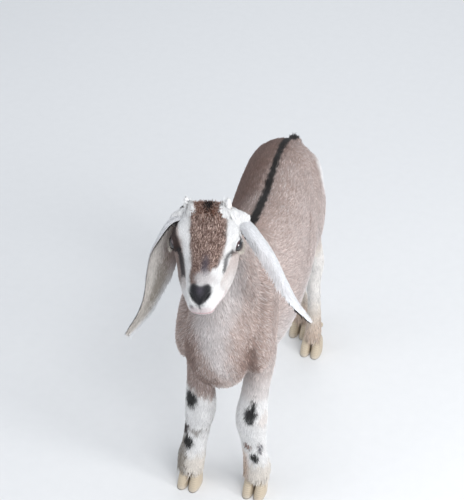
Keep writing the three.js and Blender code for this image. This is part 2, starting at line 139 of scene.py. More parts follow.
def along(values, t):
    """Smooth value through evenly spaced knots, read at fractions t of the list (a Catmull-Rom curve)."""
    v = np.asarray(values, float)
    place = np.clip(np.asarray(t, float), 0, 1) * (len(v) - 1)
    i = np.minimum(place.astype(int), len(v) - 2)
    f = place - i
    knots = np.concatenate([[2 * v[0] - v[1]], v, [2 * v[-1] - v[-2]]])
    f = f[..., None] if v.ndim > 1 else f
    return cubic(*(knots[i + k] for k in range(4)), f)


def around(knots, u):
    """Smooth closed curve through the knots (k, rows, 2), read at fractions u of a turn."""
    n = len(knots)
    place = (np.asarray(u) % 1) * n
    i = place.astype(int) % n
    f = (place - place.astype(int))[:, None, None]
    return cubic(*(knots[(i + k) % n] for k in (-1, 0, 1, 2)), f)


def unit(v):
    """The same ways with a length of one."""
    return v / np.maximum(np.linalg.norm(v, axis=-1, keepdims=True), 1e-9)


def length_of(v):
    """The length of each row of v."""
    return np.linalg.norm(v, axis=-1)


def level_with(v, normal):
    """The ways v less their parts along the normals."""
    return v - (v * normal).sum(-1, keepdims=True) * normal


def smoothstep(low, high, x):
    """Zero at low, one at high and smooth between them."""
    t = np.clip((x - low) / (high - low), 0, 1)
    return t * t * (3 - 2 * t)


def bump(distance, width):
    """A bell of height one, exp of minus the square of distance over width."""
    return np.exp(-((distance / width) ** 2))


def fullness(t, cap):
    """How full a rounded end is: the quarter circle of each cap over its share of the length."""
    first = np.minimum(t / cap[0], 1)
    last = np.minimum((1 - t) / cap[1], 1)
    return np.sqrt(1 - (1 - first) ** 2) * np.sqrt(1 - (1 - last) ** 2)


def rows_of(steps):
    """Fractions of a length, closer together near both ends."""
    row = np.linspace(0, 1, steps + 1)
    return 0.5 * row + 0.25 * (1 - np.cos(np.pi * row))


def form(path, wide, above, below=None, cap=(0.15, 0.15), square=2.0, pear=0.0, side=(1, 0, 0), turns=44,
         steps=44, grow=0.0):
    """A rounded form along a smooth path, as a grid of rows by turns.

    Each ring is a superellipse: its half width lies across the path, and its half depth is one number on
    the upper half and another on the lower. Both ends close like the cap of a ball.
    """
    t = rows_of(steps)
    middle = along(path, t)
    tangent = unit(along(path, np.minimum(t + 1e-3, 1)) - along(path, np.maximum(t - 1e-3, 0)))
    side = np.asarray(side, float)
    across = unit(side - (tangent @ side)[:, None] * tangent)
    up = np.cross(tangent, across)
    angle = np.linspace(0, 2 * np.pi, turns, endpoint=False)
    c, s = np.cos(angle), np.sin(angle)
    full = fullness(t, cap)
    swell = full[:, None] * (np.abs(c) ** square + np.abs(s) ** square)[None] ** (-1 / square)
    half_width = (along(wide, t) + grow)[:, None] * (1 - pear * s)
    upper = along(above, t)[:, None]
    lower = along(above if below is None else below, t)[:, None]
    half_depth = np.where(s > 0, upper, lower) + grow
    reach = np.where(t < 0.5, -grow, grow) * (1 - full)
    return (middle[:, None] + across[:, None] * (swell * c * half_width)[..., None]
            + up[:, None] * (swell * s * half_depth)[..., None] + (tangent * reach[:, None])[:, None])


def outward(points, faces):
    """The faces of a closed form, turned where they must be so that its volume is positive."""
    p = points[faces]
    volume = np.einsum("ij,ij->i", p[:, 0], np.cross(p[:, 1], p[:, 2])).sum()
    return faces if volume > 0 else faces[:, ::-1]


def cells(a, b, c, d):
    """Two triangles for each cell, from the arrays of its four corners in turn."""
    return np.concatenate([np.stack(corners, -1).reshape(-1, 3) for corners in ((a, b, c), (a, c, d))])


def corners_of(index):
    return index[:-1, :-1], index[:-1, 1:], index[1:, 1:], index[1:, :-1]


def grid_faces(rows, columns):
    return cells(*corners_of(np.arange(rows * columns).reshape(rows, columns)))


def closed(grid):
    """A grid whose first and last rows are single points, as points and triangles."""
    rows, turns = grid.shape[:2]
    points = np.concatenate([grid[:1, 0], grid[1:-1].reshape(-1, 3), grid[-1:, 0]])
    ring = np.arange(turns)
    nxt = (ring + 1) % turns
    first = np.stack([np.zeros(turns, int), 1 + nxt, 1 + ring], 1)
    base = 1 + turns * (rows - 3)
    last = np.stack([np.full(turns, len(points) - 1), base + ring, base + nxt], 1)
    start = 1 + turns * np.arange(rows - 3)[:, None]
    a, b = start + ring, start + nxt
    return points, outward(points, np.concatenate([first, cells(a, b, b + turns, a + turns), last]))


def joined(parts):
    """Several sets of points and triangles as one."""
    offsets = np.cumsum([0] + [len(points) for points, _ in parts[:-1]])
    return (np.concatenate([points for points, _ in parts]),
            np.concatenate([faces + k for (_, faces), k in zip(parts, offsets)]))


def turn(axis, angle):
    return np.array(Matrix.Rotation(angle, 3, axis))


HEAD_AXES = turn("Z", HEAD_TURN) @ turn("X", HEAD_DIP) @ turn("Y", -HEAD_LEAN)


def to_head(points):
    """The part's millimetres in the head's own axes: x to its left, y to the nape, z to the poll."""
    return (points - HEAD_AT) @ HEAD_AXES


def from_head(points):
    return HEAD_AT + np.asarray(points, float) @ HEAD_AXES.T


def mirrored(q):
    """Points of the head with both its sides laid on the left one."""
    return np.stack([np.abs(q[:, 0]), q[:, 1], q[:, 2]], 1)


def down_face(q):
    """Millimetres down the face, from between the eyes to the lips."""
    return -0.8 * q[:, 1] - 0.6 * q[:, 2]


def from_part(points):
    """The part's millimetres as the scene's metres."""
    return (np.asarray(points) + SHIFT) * MM


def to_part(points):
    """The scene's metres as the part's millimetres."""
    return np.asarray(points) / MM - SHIFT


def trunk():
    top = [392, CROUP - 10, CROUP + 2, 426, 421, WITHERS - 4, WITHERS, 412, 374, 336]
    bottom = [344, 300, 250, 214, 204, 206, BRISKET - 4, BRISKET, BRISKET + 1, 246]
    back = [312, 274, 234, 186, 134, 84, 36, -16, -60, -93]
    middle = [0.56 * a + 0.44 * b for a, b in zip(top, bottom)]
    return dict(path=list(zip(SWAY, back, middle)), wide=[30, 47, 54, 60, 60, 60, 50, 46, 40, 27],
                above=np.subtract(top, middle), below=np.subtract(middle, bottom), cap=(0.07, 0.1),
                square=2.25, pear=0.15, turns=72, steps=72)


def shoulder(sign):
    return dict(path=[(sign * x, y, z) for x, y, z in
                      [(26, 42, 404), (39, 24, 368), (45, -2, 328), (46, -20, 288), (42, -2, 258)]],
                wide=[12, 16, 19, 19, 18], above=[26, 34, 36, 32, 26], below=[26, 36, 40, 38, 30],
                cap=(0.3, 0.25))


def thigh(leg):
    hip, stifle = leg["hip"], leg["stifle"]
    sign = np.sign(stifle[0])
    return dict(path=[(hip[0] - sign * 6, hip[1] + 2, 400), (hip[0] + sign * 2, hip[1], 366),
                      (stifle[0], stifle[1] + 24, 322), (stifle[0] - sign, stifle[1] + 30, 278),
                      (stifle[0] - sign * 4, stifle[1] + 52, 236)],
                wide=[12, 17, 19, 20, 15], above=[32, 44, 46, 40, 24], below=[36, 50, 50, 44, 28],
                cap=(0.3, 0.25), square=2.2)


def shank(leg):
    sole, stifle, hock = leg["sole"], leg["stifle"], leg["hock"]
    sign = np.sign(stifle[0])
    top = (stifle[0] - sign * 4, stifle[1] + 30, 286)
    gaskin = ((top[0] + hock[0]) / 2, 0.5 * (top[1] + hock[1]), 0.5 * (top[2] + HOCK))
    return dict(path=[top, gaskin, (*hock, HOCK + 2), (hock[0], hock[1] - 3, 126),
                      (0.5 * (hock[0] + sole[0]), hock[1] - 4, 90), (sole[0], sole[1] - 2, FETLOCK),
                      (sole[0], sole[1] - 8, HOOF - 2)],
                wide=[20, 15, 14, 11.5, 10.5, 13, 13], above=[26, 18, 13, 12, 11, 12, 12],
                below=[30, 20, 19, 14, 12, 14, 13], cap=(0.1, 0.06), turns=36, steps=64)


def heel(leg):
    x, y = leg["hock"]
    return dict(path=[(x, y - 18, HOCK + 42), (x, y + 6, HOCK + 14), (x, y + 4, HOCK - 14)], wide=[5, 9, 9],
                above=[6, 12, 12], cap=(0.3, 0.3), turns=24, steps=20)


def foreleg(leg):
    sole, knee, elbow = leg["sole"], leg["knee"], leg["elbow"]

    def drop(f):
        return knee[0] + (sole[0] - knee[0]) * f, knee[1] + (sole[1] - knee[1]) * f

    return dict(path=[(elbow[0], elbow[1] - 14, ELBOW + 34), (elbow[0], elbow[1] - 8, ELBOW - 6),
                      (0.5 * (elbow[0] + knee[0]), elbow[1] * 0.4 + knee[1] * 0.6 - 4, 200),
                      (*knee, KNEE + 2), (*drop(0.3), 106), (*drop(0.65), 74), (*drop(1), FETLOCK),
                      (sole[0], sole[1] - 6, HOOF - 2)],
                wide=[19, 20, 18.5, 22.5, 19, 18, 20, 18], above=[26, 24, 18, 19, 15, 15, 17, 15],
                below=[26, 28, 19, 17, 16, 16, 18, 16], cap=(0.08, 0.05), turns=36, steps=72)


def neck():
    return dict(path=[(0, 2, 330), (0, -12, 374), (-3, -20, 416), (-6, -25, 452), (-9, -34, 486)],
                wide=[44, 44, 37, 32, 29], above=[66, 60, 44, 32, 24], below=[62, 54, 40, 28, 24],
                cap=(0.2, 0.2), pear=0.06, turns=56, steps=44)


def tail():
    return dict(path=[(-14, 288, 392), (-14, 313, 383), (-14, 327, 356), (-13, 329, 320)],
                wide=[10, 11, 10, 6], above=[7, 7, 6, 4], cap=(0.2, 0.25), turns=24, steps=32)


def claw(sole, offset):
    x = sole[0] + offset
    return dict(path=[(sole[0] + offset * 0.8, sole[1] + 1, HOOF + 5), (x, sole[1] - 2, 16),
                      (x, sole[1] - 6, 2), (x, sole[1] - 9, -12)],
                wide=[6, 7.2, 8, 8], above=[8, 13, 17, 18], below=[9, 13, 15, 15], cap=(0.22, 0.1),
                square=2.4)


def dewclaw(sole, offset):
    x = sole[0] + offset
    return dict(path=[(x, sole[1] + 4, FETLOCK + 3), (x, sole[1] + 13, FETLOCK - 3),
                      (x, sole[1] + 17, FETLOCK - 11)],
                wide=[4, 4.2, 3], above=[4, 4, 2.6], cap=(0.3, 0.35))


# Place, radius and height of each swelling of the head
SWELLINGS = [((33, 3, 2), 18, 8), ((12, -77, -9), 5.5, 1.6), ((33, 31, -1), 11, 6), ((20, 34, 24), 8, 4)]


def skull(grow, turns=96, steps=96):
    """The head's skin drawn over its rails: a smooth closed ring through eight rail points at each
    station, rounded off at both ends, with soft swellings for eyes, nostrils, ears and horn buds."""
    t = rows_of(steps)
    rail = {name: along(values, t) for name, values in RAILS.items()}
    zero = np.zeros_like(t)
    flank = [(zero, rail["top"]), (rail["brow_out"], rail["brow"]), (rail["side_out"], rail["side"]),
             (rail["jaw_out"], rail["jaw"]), (zero, rail["bottom"])]
    knots = flank + [(-x, z) for x, z in flank[3:0:-1]]
    knots = np.array([np.stack(k, -1) for k in knots])
    ring = around(knots, np.arange(turns) / turns).transpose(1, 0, 2)
    middle = 0.5 * (rail["top"] + rail["bottom"])[:, None]
    out = unit(np.stack([ring[..., 0], 0 * ring[..., 0], ring[..., 1] - middle], -1))
    full = fullness(t, (0.1, 0.09))[:, None]
    z = middle + (ring[..., 1] - middle) * full
    slant = 0.3 * np.maximum(0, 3 * t - 2)[:, None] * (z - middle)
    grid = np.stack([ring[..., 0] * full, rail["back"][:, None] - slant, z], -1)
    swell = np.full(grid.shape[:2], float(grow))
    for at, radius, height in SWELLINGS:
        for sign in (1, -1):
            swell += height * bump(length_of(grid - np.multiply(at, (sign, 1, 1))), radius)
    swell[[0, -1]] = 0
    grid = grid + out * swell[..., None]
    grid[0, :, 1] += grow
    grid[-1, :, 1] -= grow
    return from_head(grid)


def ear_sheet(which):
    """An ear: a sheet along its spine from root to tip, curled about the spine into a cup.

    Returns the outer and the inner face as grids of rows from root to tip by columns across, with the
    fractions of the length and of the half width, -1 to 1.
    """
    rows, columns = 84, 40
    shape = EARS[which]
    fine = along(shape["spine"], np.linspace(0, 1, 400))
    length = np.concatenate([[0], np.cumsum(length_of(np.diff(fine, axis=0)))])
    t = rows_of(rows)
    middle = np.stack([np.interp(t * length[-1], length, fine[:, k]) for k in range(3)], -1)
    tangent = unit(np.gradient(middle, axis=0))
    first, last = (np.array(v, float) for v in shape["opening"])
    toward = first + (last - first) * t[:, None]
    normal = unit(level_with(toward, tangent))
    sideways = np.cross(normal, tangent)
    across = np.linspace(-1, 1, columns + 1)
    bend = along(shape["curl"], t)[:, None]
    radius = along(shape["half_widths"], t)[:, None] / bend
    thick = EAR_THICKNESS * (1 - 0.4 * t[:, None]) * (1 - 0.5 * across**2)

    def face(depth):
        reach = radius - depth
        return (middle[:, None] + sideways[:, None] * (reach * np.sin(across * bend))[..., None]
                + normal[:, None] * (radius - reach * np.cos(across * bend))[..., None])

    return from_head(face(np.full_like(thick, EAR_INSET))), from_head(face(thick - EAR_INSET)), t, across


def sheet_shell(outer, inner):
    """Two faces of a sheet with the same rows and columns, closed round their edge."""
    rows, columns = outer.shape[:2]
    points = np.concatenate([outer.reshape(-1, 3), inner.reshape(-1, 3)])
    index = np.arange(rows * columns).reshape(rows, columns)
    one = np.stack(corners_of(index), -1).reshape(-1, 4)
    rim = np.concatenate([index[0, :], index[1:, -1], index[-1, -2::-1], index[-2:0:-1, 0]])
    nxt = np.roll(rim, -1)
    n = rows * columns
    quads = np.concatenate([one, one[:, ::-1] + n, np.stack([nxt, rim, rim + n, nxt + n], -1)])
    return points, outward(points, np.concatenate([quads[:, [0, 1, 2]], quads[:, [0, 2, 3]]]))


def mesh_object(name, points, faces, smooth=True):
    """An object from points in metres and an array of triangles."""
    mesh = bpy.data.meshes.new(name)
    mesh.vertices.add(len(points))
    mesh.vertices.foreach_set("co", np.asarray(points, np.float32).ravel())
    mesh.loops.add(faces.size)
    mesh.loops.foreach_set("vertex_index", np.asarray(faces, np.int32).ravel())
    mesh.polygons.add(len(faces))
    mesh.polygons.foreach_set("loop_start", np.arange(len(faces), dtype=np.int32) * faces.shape[1])
    mesh.polygons.foreach_set("use_smooth", np.full(len(faces), smooth))
    mesh.update(calc_edges=True)
    made = bpy.data.objects.new(name, mesh)
    bpy.context.scene.collection.objects.link(made)
    return made


def read_array(items, field, width, kind=np.float32):
    """One field of every item of a mesh, as rows of that width."""
    values = np.empty(len(items) * width, kind)
    items.foreach_get(field, values)
    return values.reshape(-1, width)


def points_of(mesh):
    return read_array(mesh.vertices, "co", 3).astype(float)


def normals_of(mesh):
    return read_array(mesh.vertex_normals, "vector", 3).astype(float)


def edges_of(mesh):
    return read_array(mesh.edges, "vertices", 2, np.int32)


def triangles_of(mesh):
    mesh.calc_loop_triangles()
    return read_array(mesh.loop_triangles, "vertices", 3, np.int32)


def store(mesh, name, kind, values, field):
    layer = mesh.attributes.new(name, kind, "POINT")
    layer.data.foreach_set(field, np.asarray(values, np.float32).ravel())


def store_tone(mesh, tone):
    store(mesh, "tone", "FLOAT_COLOR", np.concatenate([tone, np.ones((len(tone), 1))], 1), "color")


def store_map(mesh, name, places, faces):
    """A map of the mesh that has one place for each point."""
    layer = mesh.uv_layers.new(name=name)
    layer.data.foreach_set("uv", places[faces.ravel()].astype(np.float32).ravel())


# The coat of the body and of the lower legs: its depth and the length, width and lift of its tufts
BODY_HAIR = dict(depth=2.0, length=5.2, width=0.85, lift=0.15)
LEG_HAIR = dict(depth=1.6, length=5.6, width=1.05, lift=0.18)


def body_forms():
    """Each form of the body, the way its hair lies and its coat: the way is 1 along the path and -1 back."""
    forms = [(trunk(), -1, BODY_HAIR), (neck(), -1, dict(depth=2.4, length=7.5, width=1.15, lift=0.18)),
             (tail(), 1, dict(depth=2.0, length=15.0, width=1.2, lift=0.22)),
             (shoulder(1), 1, BODY_HAIR), (shoulder(-1), 1, BODY_HAIR)]
    for name, leg in LEGS.items():
        if name.startswith("fore"):
            forms.append((foreleg(leg), 1, LEG_HAIR))
        else:
            forms += [(thigh(leg), 1, BODY_HAIR), (shank(leg), 1, LEG_HAIR), (heel(leg), 1, LEG_HAIR)]
    return forms


def hair_guides():
    """Points along the middle of every form, each with the way the hair lies there and its tuft sizes."""
    at, way, radius, sizes = [], [], [], []
    t = np.linspace(0.02, 0.98, 30)
    for shape, sign, hair in body_forms():
        at.append(along(shape["path"], t))
        way.append(unit(np.gradient(at[-1], axis=0)) * sign)
        radius.append(0.5 * (along(shape["wide"], t) + along(shape["above"], t)))
        sizes.append(np.tile([hair["length"], hair["width"], hair["lift"]], (len(t), 1)))
    face = np.stack([0 * t, 54 - 128 * t, 2 - 26 * t], -1)
    at.append(from_head(face))
    way.append(np.tile(unit(np.array([0, 1.0, 0.12])) @ HEAD_AXES.T, (len(t), 1)))
    radius.append(np.interp(t, [0, 0.5, 1], [34, 32, 15]))
    sizes.append(np.stack([np.interp(t, [0, 0.3, 0.7, 1], [4.8, 3.3, 2.5, 1.5]),
                           np.interp(t, [0, 1], [0.72, 0.5]), np.full(len(t), 0.15)], -1))
    return [np.concatenate(v) for v in (at, way, radius, sizes)]


def hair_field(points, batch=8000):
    """The lie and tuft sizes at each point: the guides' own, weighed by nearness for their thickness."""
    at, way, radius, sizes = hair_guides()
    lie, size = np.empty((len(points), 3)), np.empty((len(points), 3))
    for start in range(0, len(points), batch):
        part = slice(start, start + batch)
        p = points[part]
        near = length_of(p[:, None] - at[None]) / radius
        weight = np.exp(-5 * (near**2 - (near**2).min(1, keepdims=True)))
        weight /= weight.sum(1, keepdims=True)
        lie[part], size[part] = weight @ way, weight @ sizes
    return lie, size


def smoothed(points, edges, weight, rounds):
    """Each point moves toward the mean of its neighbours, then a little more back, which keeps the size."""
    a, b = edges.T
    n = len(points)
    count = np.maximum(np.bincount(a, minlength=n) + np.bincount(b, minlength=n), 1)[:, None]
    for _ in range(rounds):
        for share in (0.5, -0.515):
            total = [np.bincount(a, points[b, k], n) + np.bincount(b, points[a, k], n) for k in range(3)]
            points = points + share * weight[:, None] * (np.stack(total, 1) / count - points)
    return points


def refine(mesh, chosen):
    """Cuts every face of the chosen points into four."""
    work = bmesh.new()
    work.from_mesh(mesh)
    work.verts.ensure_lookup_table()
    faces = [f for f in work.faces if all(chosen[v.index] for v in f.verts)]
    edges = list({e for f in faces for e in f.edges})
    bmesh.ops.subdivide_edges(work, edges=edges, cuts=1, use_grid_fill=True)
    work.to_mesh(mesh)
    work.free()
    mesh.update()


def eye_axes(sign):
    """The middle of an eye and its three ways: outward, level toward the nape, and up."""
    out = unit(EYE_OUTWARD * (sign, 1, 1))
    level = np.array([sign * 0.42, 0.86, 0.26])
    level = unit(level - (level @ out) * out)
    return EYE_AT * (sign, 1, 1), out, level, unit(np.cross(level, out) * sign)


# The line of the mouth in the head's y and z, and the left nostril's slit
MOUTH = np.array([(-86, -27.5), (-76, -29.5), (-62, -31), (-50, -29.5), (-41, -26)])
NOSTRIL = np.array([(3.4, -79, -9.5), (6.0, -76, -6.5), (9.4, -70, -4.5), (11.4, -64, -4.5)])


def to_line(points, line, samples=60):
    """Least distance from each point to a smooth line, and the fraction along it where that is."""
    t = np.linspace(0, 1, samples)
    at = along(line, t)
    gap = length_of(points[:, None] - at[None])
    nearest = gap.argmin(1)
    return gap[np.arange(len(points)), nearest], t[nearest]


def almond(d, out, level, up):
    """The opening between the lids in the eye's own angles, a across and b up from its arch.

    f is one on its edge: (|a| / width) ^ power + (|b| / height) ^ power. Returns f and b.
    """
    a = np.arctan2(d @ level, d @ out)
    b = np.arctan2(d @ up, d @ out) + LID_ARCH * (a / LID_WIDTH) ** 2 - 0.02
    height = np.where(b > 0, LID_ABOVE, LID_BELOW)
    return (np.abs(a) / LID_WIDTH) ** LID_POWER + (np.abs(b) / height) ** LID_POWER, b


def lids(q):
    """Draws the skin round each eyeball: an almond opening with a thick rim, a fold above and a bag below.

    Inside f = 1 the skin drops behind the ball, at 1 it stands proud as a rim, and further out it blends
    into the face.
    """
    for sign in (1, -1):
        at, out, level, up = eye_axes(sign)
        away = q - at
        r = length_of(away)
        near = (r < 26) & (away @ out > -4)
        d = away[near] / r[near, None]
        f, b = almond(d, out, level, up)
        rim = EYE_RADIUS + LID_PROUD - 0.5 * bump(f - 1.0, 0.2)
        blend = smoothstep(4.6, 1.9, f)
        new = r[near] * (1 - blend) + rim * blend
        new = new - np.where(b > 0, 0.9, 0.45) * bump(f - 2.3, 0.45) * smoothstep(0.1, 0.3, np.abs(b))
        behind = smoothstep(1.12, 0.9, f)
        new = new * (1 - behind) + (EYE_RADIUS - 3.2) * behind
        q[near] = at + d * new[:, None]
    return q


def sculpt_face(q, normal):
    """Lids, nostrils, the split upper lip, the line of the mouth with its lips, and soft cheek folds."""
    x, y, z = q.T
    off = z - np.interp(y, MOUTH[:, 0], MOUTH[:, 1])
    lips = 0.9 * bump(off - 3.4, 2.2) + 0.8 * bump(off + 3.6, 2.4) - 2.0 * bump(off, 0.8)
    push = smoothstep(-40, -47, y) * lips
    push += np.where(np.abs(x) > 6, -0.8 * bump(np.hypot(y + 42, z + 26.5), 2.5), 0)
    for sign in (1, -1):
        gap, t = to_line(q, NOSTRIL * (sign, 1, 1))
        wide = np.interp(t, [0, 0.35, 0.8, 1], [1.0, 1.9, 2.0, 1.3])
        push += 0.8 * bump(gap - 3.6, 1.3) - 4.6 * np.exp(-((gap / wide) ** 3))
    split = smoothstep(-6, -10, z) * smoothstep(-27.5, -25, z) * smoothstep(-70, -74, y)
    push -= 0.9 * split * bump(x, 0.9)
    push -= 0.5 * bump(np.hypot(y + 34, (z + 20 - (y + 34) * 0.4) / 0.35), 9) * (np.abs(x) > 12)
    push += 0.7 * bump(np.hypot((y + 6) / 1.6, (z + 15) / 0.6), 9) * (np.abs(x) > 15)
    return lids(q + normal * push[:, None])


def head_share(q):
    """One on the head, falling to zero where it meets the neck."""
    return (smoothstep(46, 38, q[:, 1] + 0.5 * np.minimum(q[:, 2] + 10, 0)) * (np.abs(q[:, 0]) < 60)
            * (q[:, 2] > -60))


def skin_softness(p):
    """How much the joined forms are smoothed: fully on the trunk, less on the legs and head."""
    lower = smoothstep(200, 150, p[:, 2])
    return 1 - 0.6 * lower - 0.65 * head_share(to_head(p)) * (1 - lower)


def move_points(mesh, p):
    mesh.vertices.foreach_set("co", from_part(p).astype(np.float32).ravel())


def build_skin(size):
    """All forms of flesh made one surface of small cells, smoothed, made finer on the head and the face,
    and drawn into a face. Returns the mesh, whose points are still the smooth ones, and the final points."""
    parts = [closed(form(**shape, grow=-hair["depth"])) for shape, _, hair in body_forms()]
    parts.append(closed(skull(-1.0)))
    for ear in EARS.values():
        stub = form(path=along(ear["spine"], np.linspace(0, 0.2, 5)), wide=[12, 11, 9.5, 8, 6],
                    above=[11, 10, 7, 4, 2], cap=(0.2, 0.3), side=(0, 1, 0), turns=28, steps=20)
        parts.append(closed(from_head(stub)))
    points, faces = joined(parts)
    raw = mesh_object("skin_forms", from_part(points), faces)
    remesh = raw.modifiers.new("one_surface", "REMESH")
    remesh.mode, remesh.voxel_size, remesh.adaptivity = "VOXEL", size, 0.0
    bpy.context.view_layer.update()
    mesh = bpy.data.meshes.new_from_object(raw.evaluated_get(bpy.context.evaluated_depsgraph_get()))
    bpy.data.objects.remove(raw)
    p = to_part(points_of(mesh))
    p = smoothed(p, edges_of(mesh), skin_softness(p), 30)
    move_points(mesh, p)
    q = to_head(p)
    refine(mesh, (q[:, 1] < 50) & (q[:, 2] > -58) & (np.abs(q[:, 0]) < 50) & (q[:, 1] > -95))
    p = to_part(points_of(mesh))
    on_head = head_share(to_head(p))
    p = smoothed(p, edges_of(mesh), on_head, 4)
    move_points(mesh, p)
    q = to_head(p)
    eyes = length_of(mirrored(q) - EYE_AT)
    refine(mesh, ((eyes < 17) | (q[:, 1] < -52)) & (on_head > 0.5))
    p = to_part(points_of(mesh))
    p = smoothed(p, edges_of(mesh), head_share(to_head(p)), 3)
    move_points(mesh, p)
    mesh.update()
    normal = normals_of(mesh) @ HEAD_AXES
    q = to_head(p)
    face = (q[:, 1] < 34) & (head_share(q) > 0.5)
    q[face] = sculpt_face(q[face], normal[face])
    return mesh, from_head(q)


def linear(colour):
    """A colour as a screen shows it, in the linear values of light."""
    c = np.asarray(colour, float)
    return np.where(c <= 0.04045, c / 12.92, ((c + 0.055) / 1.055) ** 2.4)


def ripple(points, size, seed):
    """Smooth noise, mostly from -1 to 1: eight sine waves of random direction and about that length, summed
    and scaled."""
    rng = np.random.default_rng(seed)
    total = 0
    for _ in range(8):
        wave = unit(rng.normal(size=3)) * 2 * np.pi / (size * rng.uniform(0.7, 1.6))
        total = total + np.sin(points @ wave + rng.uniform(0, 2 * np.pi))
    return total / 2.8


def inside(distance, edge):
    """One well inside a mark, a half on its line and zero outside, over the width of its edge."""
    return 1 / (1 + np.exp(np.clip(4 * distance / edge, -40, 40)))


def spot(points, at, radii):
    """Millimetres outside an ellipsoid, nearly: the scaled gap's length less one, times the least radius."""
    gap = (points - np.asarray(at, float)) / np.asarray(radii, float)
    return (length_of(gap) - 1) * min(radii)


# The dark stripe's way along the back, from the tail to the nape
DORSAL = [(-14, 322, 372), (-14, 308, 392), (-14, 290, 404), (-14, 273, 411), (-11, 234, 418), (-5, 193, 423),
          (-1, 163, 423), (2, 141, 421), (6, 107, 424), (9, 76, 428), (10, 55, 431), (7, 30, 440),
          (0, 6, 458), (-7, -12, 484), (-10, -38, 506)]


def painted(tone, colours, marks):
    """The tone with marks laid over it in turn, each a colour's name and its share from 0 to 1."""
    for name, share in marks:
        share = np.clip(share, 0, 1)[:, None]
        tone = tone * (1 - share) + colours[name] * share
    return tone


def face_colour(q, tone, ragged, jitter, c):
    """The marks of the face, from x, to the goat's left, and d, the way down the face."""
    x, y, z = q.T
    d, both = down_face(q), mirrored(q)

    def oval(across, down, radii):
        return spot(np.stack([x - across, d - down], 1), (0, 0), radii)

    outer_left = np.interp(d, [-30, -24, -8, 3, 14, 22, 37, 50], [-38, -34, -30, -26.5, -23, -21, -18.5, -18])
    outer_right = np.interp(d, [-30, -8, 2, 7, 20, 35, 50], [46, 46, 41, 34, 28, 22.5, 20])
    stripes = inside(np.maximum(outer_left - x, x - outer_right) + 0.6 * ragged, 2.2) * inside(-z - 24, 8)
    knots = [-45, -26, -9, 7, 21, 28, 36, 44, 50]
    left = np.interp(d, knots, [-20, -19, -16.2, -14.8, -12.6, -12, -12.3, -12.5, -11.5])
    right = np.interp(d, knots, [22, 24.5, 24.9, 23.0, 19.5, 15.5, 9, -2, -7])
    brown = np.maximum(left - x, x - right) + 0.7 * ragged
    brown = inside(brown, 3.0) * inside(d - 48, 4) * inside(-44 - d, 6)
    fleck = ripple(q, 2.2, 21) + ripple(q, 1.5, 22)
    tear = to_line(q, [(31, -15, 2), (28, -20, 1.5), (26, -26, -1), (24.5, -33, -6)])[0]
    strip = np.maximum(x - outer_left + 1.5, np.abs(d + 8) - 19) + 0.6 * ragged
    streak = np.maximum(np.abs(x - outer_left + 4.5) - 3.4, np.abs(d - 23) - 17) + 0.5 * ragged
    rim = to_line(q, [(40, 3, 8), (41, 12, 11), (38, 22, 16)])[0]
    horn = length_of(both - (22, 33, 24)) - 10
    return painted(tone, c, [
        ("cheek", np.ones(len(x))),
        ("white", 0.6 * inside(spot(q, (0, -52, -34), (60, 44, 20)) + ragged, 14)),
        ("fawn", 0.6 * inside(spot(both, (36, 30, -34), (14, 24, 18)) + ragged, 14)),
        ("white", stripes * inside(y - 44, 6)),
        ("white", 0.9 * inside(y + 52 + 0.4 * (z + 20), 7) * inside(-z - 34, 8)),
        ("brown", brown),
        ("ticking", np.clip(0.26 * fleck + 0.40 * jitter + 0.10, 0, 0.85) * brown * inside(d - 32, 14)),
        ("dark_brown", np.clip(-0.2 * fleck - 0.30 * jitter + 0.05, 0, 0.8) * brown),
        ("ticking", 0.6 * brown * inside(d + 34, 5) * inside(np.abs(x + 8) - 8, 5)),
        ("grey", 0.85 * inside(oval(4.2, 25, (4.4, 9.5)) + 0.5 * ragged, 4)),
        ("pale_grey", 0.97 * inside(oval(5.5, 41, (10.5, 8)) + 0.8 * ragged, 4.5) * (z > -14)),
        ("grey", 0.45 * inside(oval(4.5, 33, (3.0, 5)) + 0.5 * ragged, 4)),
        ("white", 0.8 * inside(spot(both, (36, -10, 8), (6, 6, 5)), 3) * (x > 0)),
        ("lid_grey", 0.9 * inside(spot(q, (34, -11.5, -1.5), (6, 5.0, 4.5)) + 0.4 * ragged, 2.5)),
        ("dark_grey", 0.85 * inside(tear - 4.0 + 0.6 * ragged, 2.5)),
        ("brown", 0.7 * inside(x + 25, 5) * inside(np.abs(d - 22) - 26, 8)),
        ("dark_brown", 0.95 * inside(strip, 2.5) * inside(-z - 14, 6)),
        ("dark_grey", 0.92 * inside(streak, 2.0) * (x < 0)),
        ("dark_brown", 0.85 * inside(rim - 2.8 + 0.5 * ragged, 2.0)),
        ("black", 0.9 * inside(spot(q, (3, 31, 26), (8, 9, 9)) + ragged, 4)),
        ("white", 0.95 * inside(horn + ragged, 4)),
        ("grey", 0.7 * inside(oval(-8.5, 72.5, (2.2, 2.4)), 1.2) * (z < -4))])


